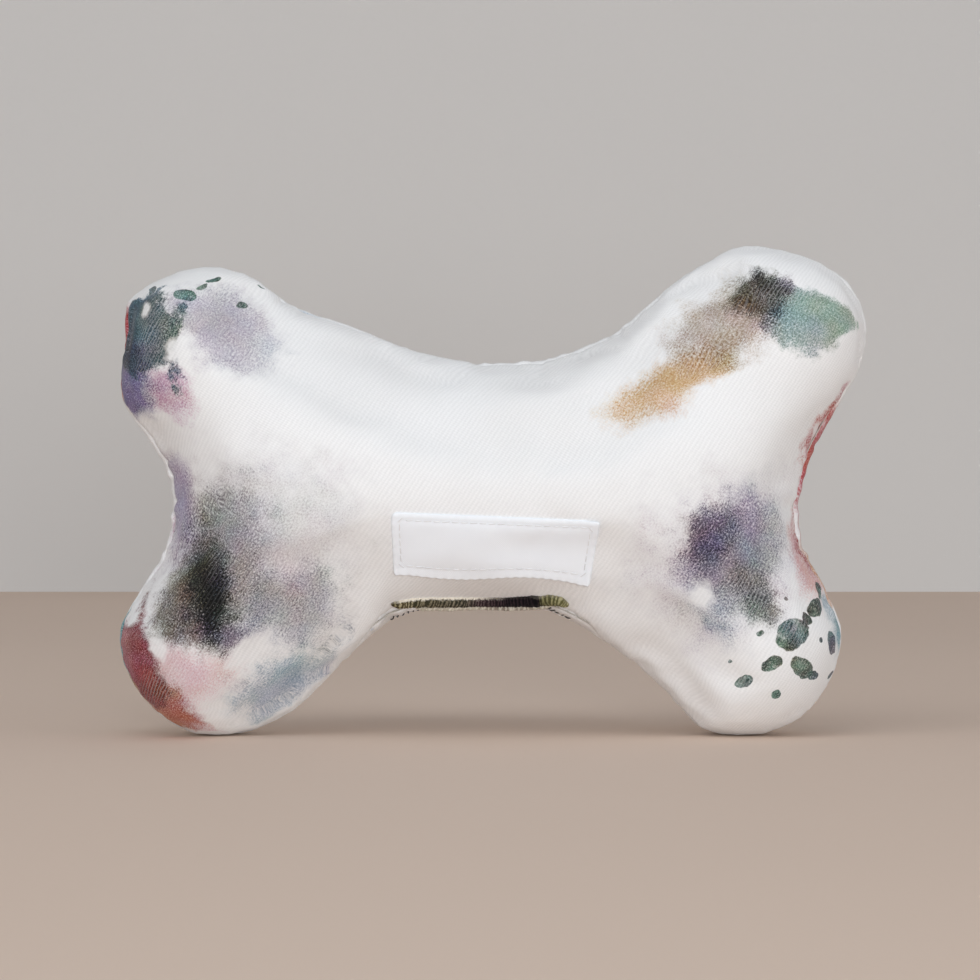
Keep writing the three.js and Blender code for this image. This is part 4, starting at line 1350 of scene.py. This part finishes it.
class LaidLabel:
    """The label laid on the front of the cover: it drapes over the stuffing as one smooth piece."""

    columns, rows = 150, 54

    def __init__(self, label, tree):
        self.label, self.tree = label, tree
        self.middle = np.array([0.25, 48.1]) * MM
        self.half_wide, self.half_tall = label.width / 2, label.height / 2

    def seen(self, u, v):
        """Place seen from the front of a place on the label. The label narrows downwards and its
        lower edge waves."""
        across, up = u / self.half_wide, v / self.half_tall
        low = (1 - up) / 2
        x = u * (1 - 0.022 * (1 - up)) - 0.5 * MM * low * smoothstep(0.5, 1.0, across)
        wave = 0.9 * hump(across, 0.35, 0.42) - 0.35 * hump(across, -0.35, 0.3)
        wave += 0.25 * hump(across, -0.85, 0.12) - 0.45 * smoothstep(0.6, 1.0, across)
        z = v + low * low * MM * wave
        turn = -self.label.tilt
        return (self.middle[0] + x * math.cos(turn) - z * math.sin(turn),
                self.middle[1] + x * math.sin(turn) + z * math.cos(turn))

    def rounded(self, u, v):
        """The place moved in where a corner is rounded off, the upper left one more than others."""
        corner = (1.7 if u < 0 < v else 0.8) * MM
        a, b = abs(u) - (self.half_wide - corner), abs(v) - (self.half_tall - corner)
        if a > 0 and b > 0:
            keep = max(a, b) / math.hypot(a, b)
            u = math.copysign(self.half_wide - corner + a * keep, u)
            v = math.copysign(self.half_tall - corner + b * keep, v)
        return u, v

    def draped(self, flat):
        """Places under the label and the directions it faces there. It spans the small hollows of
        the cloth under it."""
        hits = [from_front(self.tree, *self.seen(u, v)) for u, v in flat]
        bases, faces = (np.array([tuple(hit[k]) for hit in hits]) for k in (0, 1))
        size = (self.rows + 1, self.columns + 1)
        depth = bases[:, 1].reshape(size)
        bases[:, 1] = spread_out(np.minimum(spread_out(depth, 40), depth), 4).ravel()
        faces = np.stack([spread_out(faces[:, k].reshape(size), 40).ravel() for k in range(3)], 1)
        return bases, faces / np.linalg.norm(faces, axis=1)[:, None]

    def lift(self, flat):
        """Height of the label's face over the cover, added up in millimetres."""
        label = self.label
        u, v = flat.T
        from_side, from_end = self.half_tall - np.abs(v), self.half_wide - np.abs(u)
        edge = np.maximum(np.minimum(from_end, from_side), 0)
        # The hem is a second layer under the edge, and the stitches pull it down
        hem = 0.05 * (1 - smoothstep(label.hem - 1.2 * MM, label.hem + 0.8 * MM, edge))
        fold = -0.16 * (1 - smoothstep(0, 0.5 * MM, edge))
        puff = 0.07 * hump(edge, 1.0 * MM, 0.45 * MM)
        beat = np.cos(2 * math.pi * np.where(from_side < from_end, u, v) / label.pitch)
        line = -(0.1 + 0.03 * beat) * hump(edge, label.inset, 0.42 * MM)
        ripple = 0.1 * beat * np.exp(-edge / (0.8 * MM))
        soft = 0.06 * noise_at(np.column_stack([u, v, np.zeros(len(u))]), 9 * MM, 2.2)
        # Its right end stands off a little and its lower edge droops
        curl = 0.55 * smoothstep(0.8, 1.0, u / self.half_wide)
        curl = curl * smoothstep(0.2, 1.0, np.abs(v) / self.half_tall)
        droop = 0.35 * smoothstep(0.55, 1.0, -v / self.half_tall)
        return (0.4 + hem + fold + puff + line + ripple + soft + curl + droop) * MM

    def stitch_line(self):
        """Places on the label along its stitches, once round."""
        wide, tall = self.half_wide - self.label.inset, self.half_tall - self.label.inset
        corners = np.array([(-wide, -tall), (wide, -tall), (wide, tall), (-wide, tall)])
        per_side = 60
        return [start + (end - start) * k / per_side
                for start, end in zip(corners, np.roll(corners, -1, 0)) for k in range(per_side)]


class DOGTOY_OT_label(bpy.types.Operator):
    """Lays the hemmed cotton label on the front of the waist and sews it down all round"""

    bl_idname = "dog_toy.label"
    bl_label = "Label"

    def execute(self, context):
        label = context.scene.dog_toy_label
        laid = LaidLabel(label, BUILT["front_panel_tree"])
        flat = np.array([
            laid.rounded(across * laid.half_wide, up * laid.half_tall)
            for up in shares(laid.rows) for across in shares(laid.columns)
        ])
        bases, faces = laid.draped(flat)
        points = bases + faces * laid.lift(flat)[:, None]
        width = laid.columns + 1
        quads = [
            (j * width + i, j * width + i + 1, (j + 1) * width + i + 1, (j + 1) * width + i)
            for j in range(laid.rows) for i in range(laid.columns)
        ]
        piece = mesh_object("sewn_label", points, quads)
        corners = points[np.array(quads)]
        spans = [corners[:, k] - corners[:, [0]] for k in ([1, 2], [2, 3])]
        area = sum(np.linalg.norm(np.cross(*pair.swapaxes(0, 1)), axis=1).sum() / 2 for pair in spans)
        add_map(piece.data, "cloth", flat)
        piece = thickened(piece, label.cloth)
        set_material(piece, label_material("Bleached cotton tape"))

        surface = surface_tree(points, quads)
        path, ups = [], []
        for u, v in laid.stitch_line():
            hit, normal = from_front(surface, *laid.seen(u, v))
            if normal.y > 0:
                normal = -normal
            path.append(hit + normal * 0.1 * MM)
            ups.append(normal)
        stitches = stitched_path("label_stitches", path, ups, True, {
            "Pitch": label.pitch, "Length": label.pitch * 0.74, "Thickness": 0.26 * MM,
            "Arch": 0.12 * MM, "Lean": 0.03, "Unevenness": 0.6,
            "Thread": thread_material("Spun polyester thread, light grey", "#e6e6e8", "#cbcbcf"),
        })
        dress(piece, "label")
        dress(stitches, "label_thread")
        return {"FINISHED"}


# Stuffing

def fibre_material():
    """Hollow siliconised polyester fibre, carded and blown in: matt white in the mass, with a
    slight silky light on single crimped fibres."""
    material, add = new_material("Carded polyester fibre")
    place = add("ShaderNodeTexCoord").outputs["Object"]
    lengthwise = add("ShaderNodeMapping", place, named={"Scale": (1.0, 0.25, 0.25)})
    strands = add(NOISE, lengthwise, 1 / (0.35 * MM), 5.0, 0.75, named={"Distortion": 1.5})
    clumps = add(NOISE, place, 1 / (7 * MM), 3.0)
    both = add(MATH, strands, clumps, operation="MULTIPLY")
    colour = add(MIX, add(RANGE, both, 0.12, 0.4), linear("#dedcd8"), linear("#fbfbfa"),
                 data_type="RGBA")
    bump = add(BUMP, named={"Strength": 0.7, "Distance": 0.4 * MM, "Height": both})
    add(OUTPUT, add(PRINCIPLED, named={
        "Base Color": colour, "Roughness": 0.7, "IOR": 1.54, "Sheen Weight": 0.5,
        "Sheen Roughness": 0.35, "Normal": bump,
    }))
    return material


# Handfuls of fibre and the bodies that they ride on
WADS = {
    "stuffing_upper_left": "cover", "stuffing_lower_left": "cover",
    "stuffing_upper_right": "cover", "stuffing_lower_right": "cover", "stuffing_waist": "cover",
    "stuffing_front_pad": "front_pad", "stuffing_back_pad": "back_pad",
}


class DOGTOY_OT_stuffing(bpy.types.Operator):
    """Fills the cover with handfuls of fibre, packed round the squeaker"""

    bl_idname = "dog_toy.stuffing"
    bl_label = "Stuffing"

    def execute(self, context):
        filling = context.scene.dog_toy_filling
        finish = fibre_material()
        for number, (node, body) in enumerate(WADS.items()):
            name = f"wad_{node}"
            solid = bpy.data.objects.new(name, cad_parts[node].data.copy())
            context.scene.collection.objects.link(solid)
            with opened(solid.data) as work:
                bmesh.ops.remove_doubles(work, verts=work.verts[:], dist=1e-6)
            loose = body == "cover"
            solid = even_grid(solid, name, filling.grid if loose else filling.grid * 0.7)
            # Each handful is a little smaller than its solid, with hollows and tufts
            points, normals = vertex_array(solid.data), vertex_normals(solid.data)
            lumps = 0.5 + 0.5 * noise_at(points, 8 * MM, number * 3.3)
            tufts = noise_at(points, 3.5 * MM, number * 5.1)
            inward = (1.1 + 0.3 * tufts) * MM + filling.lumps * lumps
            if not loose:
                inward *= 0.5
            write_vertices(solid.data, points - normals * inward[:, None])
            relax(solid.data, rounds=2, held=np.zeros(len(points)))
            wad = made_by_nodes(solid, name, fibre_tree(), **{
                "Density": 42000.0, "Length": 2.6 * MM, "Thickness": 0.12 * MM,
                "Seed": filling.seed + number, "Fibre": finish,
            })
            dress(wad, node, body, FLATTENED if loose else None)
        return {"FINISHED"}


# Squeaker

def plastic_material(name, colour, shade, rough, milky, clear):
    """A moulded plastic: slight flow marks and a fine spark-eroded grain from the mould."""
    material, add = new_material(name)
    place = add("ShaderNodeTexCoord").outputs["Object"]
    flow = add(NOISE, place, 1 / (9 * MM), 2.0, named={"Distortion": 0.8})
    grit = add(NOISE, place, 1 / (0.25 * MM), 3.0, 0.6)
    tone = add(MIX, flow, linear(colour), linear(shade), data_type="RGBA")
    dull = add(RANGE, grit, 0.0, 1.0, rough - 0.06, rough + 0.08)
    bump = add(BUMP, named={"Strength": 0.25, "Distance": 0.02 * MM, "Height": grit})
    add(OUTPUT, add(PRINCIPLED, named={
        "Base Color": tone, "Roughness": dull, "IOR": 1.51, "Subsurface Weight": milky,
        "Subsurface Radius": (1.0, 1.0, 0.9), "Subsurface Scale": 2 * MM,
        "Transmission Weight": clear, "Normal": bump,
    }))
    return material


def board_material(name, colour):
    """Matt painted board, pale and slightly uneven."""
    material, add = new_material(name)
    drift = add(NOISE, add("ShaderNodeTexCoord").outputs["Object"], 3.0, 3.0)
    uneven = add(RANGE, drift, 0.0, 1.0, 0.97, 1.02)
    tone = add(VECTOR, linear(colour)[:3], uneven, operation="SCALE")
    add(OUTPUT, add(PRINCIPLED, named={"Base Color": tone, "Roughness": 0.75}))
    return material


def turned(name, profile, centre, axis, steps):
    """A shape turned about an axis through the centre. The profile is a closed list of
    (distance along the axis, radius)."""
    points, polygons = [], []
    count = len(profile)
    for step in range(steps):
        angle = 2 * math.pi * step / steps
        for along, radius in profile:
            a, b = radius * math.cos(angle), radius * math.sin(angle)
            points.append({
                "Y": (centre[0] + a, centre[1] + along, centre[2] + b),
                "X": (centre[0] + along, centre[1] + a, centre[2] + b),
            }[axis])
    for step in range(steps):
        here, after = step * count, (step + 1) % steps * count
        for k in range(count):
            m = (k + 1) % count
            polygons.append((here + k, here + m, after + m, after + k))
    made = mesh_object(name, points, polygons)
    with opened(made.data) as work:
        bmesh.ops.remove_doubles(work, verts=work.verts[:], dist=1e-6)
        bmesh.ops.dissolve_degenerate(work, edges=work.edges[:], dist=1e-6)
        bmesh.ops.recalc_face_normals(work, faces=work.faces[:])
    smooth_shade(made)
    return made


def bulb_profile(half, rounding):
    """Half of a wall of the bulb, from the middle of its flat face, which has two shallow rings, to
    its parting line: distance from the middle plane, and radius."""
    across, around = 40, 24
    rings, ring_width, ring_depth = (4 * MM, 7.5 * MM), 0.6 * MM, 0.35 * MM
    profile = []
    for step in range(across + 1):
        radius = rounding * step / across
        dent = ring_depth * sum(hump(radius, ring, ring_width) for ring in rings)
        profile.append((half - dent, radius))
    for step in range(1, around + 1):
        angle = math.pi / 2 * step / around
        profile.append((half * math.cos(angle), rounding + half * math.sin(angle)))
    return profile


class DOGTOY_OT_squeaker(bpy.types.Operator):
    """Blows the squeaker's bulb and its neck, and finishes the parts of the reed"""

    bl_idname = "dog_toy.squeaker"
    bl_label = "Squeaker"

    def execute(self, context):
        low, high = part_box("squeaker_bulb")
        half = (high.y - low.y) / 2
        radius = (high.z - low.z) / 2
        centre = (low.x + radius, 0.0, (high.z + low.z) / 2)
        wall = 0.8 * MM
        film = plastic_material(
            "Blow-moulded polyethylene, milky", "#e6e8e0", "#d9dcd2", 0.4, 0.35, 0.12)

        # Bulb: flat faces with shallow rings, round shoulders and the parting line
        outer = bulb_profile(half, radius - half)[:-1]
        outer.append((0.25 * MM, outer[-1][1]))
        outer += [(-a, r) for a, r in reversed(outer)]
        inner = bulb_profile(half - wall, radius - half)
        inner += [(-a, r) for a, r in reversed(inner[:-1])]
        shells = [turned("bulb_wall", profile, centre, "Y", steps=96) for profile in (outer, inner)]
        # The inner wall is turned to face the hollow
        shells[1].data.flip_normals()
        bulb = mesh_object("squeaker_bulb_body", [], [])
        with opened(bulb.data) as work:
            for shell in shells:
                work.from_mesh(shell.data)
        for shell in shells:
            bpy.data.objects.remove(shell)
        smooth_shade(bulb)

        # Neck: a short tube with a rolled rim, which holds the reed
        inside, outside = 5.2, 6.0
        root, tip = radius / MM - 3.0, (high.x - centre[0]) / MM
        neck_profile = [
            (root, inside), (root, outside + 0.5), (root + 1.5, outside + 0.25),
            (root + 3.4, outside), (tip - 1.4, outside), (tip - 1.0, outside + 0.35),
            (tip - 0.4, outside + 0.4), (tip, outside + 0.1), (tip, inside + 0.1),
            (tip - 0.4, inside),
        ]
        neck_profile = [(along * MM, wide * MM) for along, wide in neck_profile]
        neck = turned("squeaker_bulb_neck", neck_profile, centre, "X", steps=64)
        for piece, keep in ((bulb, 0.33), (neck, None)):
            set_material(piece, film)
            dress(piece, "squeaker_bulb", keep=keep)

        # The reed's parts keep their CAD shapes
        moulded = plastic_material(
            "Injection-moulded polystyrene, white", "#e4e6e4", "#d6d9d8", 0.32, 0.1, 0.0)
        tongue = plastic_material("Polyester film, clear amber", "#d9cfa8", "#c9be94", 0.15, 0.0, 0.45)
        for node in ("reed_holder", "reed_seat", "reed_wedge"):
            set_material(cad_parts[node], moulded)
        set_material(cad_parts["squeaker_reed"], tongue)
        return {"FINISHED"}


class DOGTOY_OT_stage(bpy.types.Operator):
    """Sets the camera, the pale floor and wall, and the soft lamps"""

    bl_idname = "dog_toy.stage"
    bl_label = "Stage"

    def execute(self, context):
        scene = context.scene
        stage = scene.dog_toy_stage
        scene.view_settings.view_transform = "Standard"

        camera = bpy.data.objects.new("camera", bpy.data.cameras.new("camera"))
        scene.collection.objects.link(camera)
        camera.data.lens = stage.lens
        camera.data.sensor_width = 36
        camera.data.clip_end = 20
        # Level with the middle of the toy, which it faces squarely
        camera.location = (-0.8 * MM, -stage.distance, 62.2 * MM)
        camera.rotation_euler = (math.pi / 2, 0, 0)
        scene.camera = camera

        reach, wall = 3.0, stage.wall
        for name, colour, points in (
            ("floor", "#e0cab9",
             [(-reach, -reach, 0), (reach, -reach, 0), (reach, wall, 0), (-reach, wall, 0)]),
            ("wall", "#edecea",
             [(-reach, wall, 0), (reach, wall, 0), (reach, wall, reach), (-reach, wall, reach)]),
        ):
            board = mesh_object(f"stage_{name}", points, [(0, 1, 2, 3)])
            set_material(board, board_material(f"Painted board, {name}", colour))

        for name, place, size, power in (
            ("lamp_above", (-0.25, -0.7, 1.25), 0.9, 3.2),
            ("lamp_front", (0.12, -1.2, 0.08), 0.3, 7.6),
            ("lamp_left", (-1.2, -0.9, 0.55), 0.7, 2.2),
            ("lamp_right", (1.2, -0.8, 0.6), 0.7, 2.2),
        ):
            lamp = bpy.data.objects.new(name, bpy.data.lights.new(name, "AREA"))
            scene.collection.objects.link(lamp)
            lamp.data.shape = "DISK"
            lamp.data.size = size
            lamp.data.energy = power
            lamp.data.color = linear("#f6fafd")[:3]
            lamp.location = place
            aim = Vector((0, 0, 60 * MM)) - Vector(place)
            lamp.rotation_euler = aim.to_track_quat("-Z", "Y").to_euler()

        world = bpy.data.worlds.new("soft_room")
        scene.world = world
        world.use_nodes = True
        world.node_tree.nodes.clear()
        light = add_node(world.node_tree, "ShaderNodeBackground", linear("#f4f6fa"), 0.42)
        add_node(world.node_tree, "ShaderNodeOutputWorld", light)
        return {"FINISHED"}


class DOGTOY_PT_sidebar(bpy.types.Panel):
    """Buttons for each group of pieces of the toy"""

    bl_idname = "DOGTOY_PT_sidebar"
    bl_label = "Dog toy"
    bl_space_type = "VIEW_3D"
    bl_region_type = "UI"
    bl_category = "Dog toy"

    def draw(self, context):
        for operator in OPERATORS:
            self.layout.operator(operator.bl_idname)


SETTINGS = {
    "dog_toy_stage": StageSettings,
    "dog_toy_cover": CoverSettings,
    "dog_toy_label": LabelSettings,
    "dog_toy_ridge": RidgeSettings,
    "dog_toy_thread": ThreadSettings,
    "dog_toy_filling": FillingSettings,
}
OPERATORS = (
    DOGTOY_OT_stage, DOGTOY_OT_cover_panels, DOGTOY_OT_outline_seam, DOGTOY_OT_closing_lip,
    DOGTOY_OT_label, DOGTOY_OT_stuffing, DOGTOY_OT_squeaker,
)


def register():
    for settings in SETTINGS.values():
        bpy.utils.register_class(settings)
    for name, settings in SETTINGS.items():
        setattr(bpy.types.Scene, name, PointerProperty(type=settings))
    for operator in OPERATORS:
        bpy.utils.register_class(operator)
    bpy.utils.register_class(DOGTOY_PT_sidebar)


def unregister():
    bpy.utils.unregister_class(DOGTOY_PT_sidebar)
    for operator in reversed(OPERATORS):
        bpy.utils.unregister_class(operator)
    for name in SETTINGS:
        delattr(bpy.types.Scene, name)
    for settings in reversed(list(SETTINGS.values())):
        bpy.utils.unregister_class(settings)


def main():
    register()
    bpy.ops.dog_toy.stage()
    bpy.ops.dog_toy.cover_panels()
    bpy.ops.dog_toy.outline_seam()
    bpy.ops.dog_toy.closing_lip()
    bpy.ops.dog_toy.label()
    bpy.ops.dog_toy.stuffing()
    bpy.ops.dog_toy.squeaker()


if __name__ == "__main__":
    main()
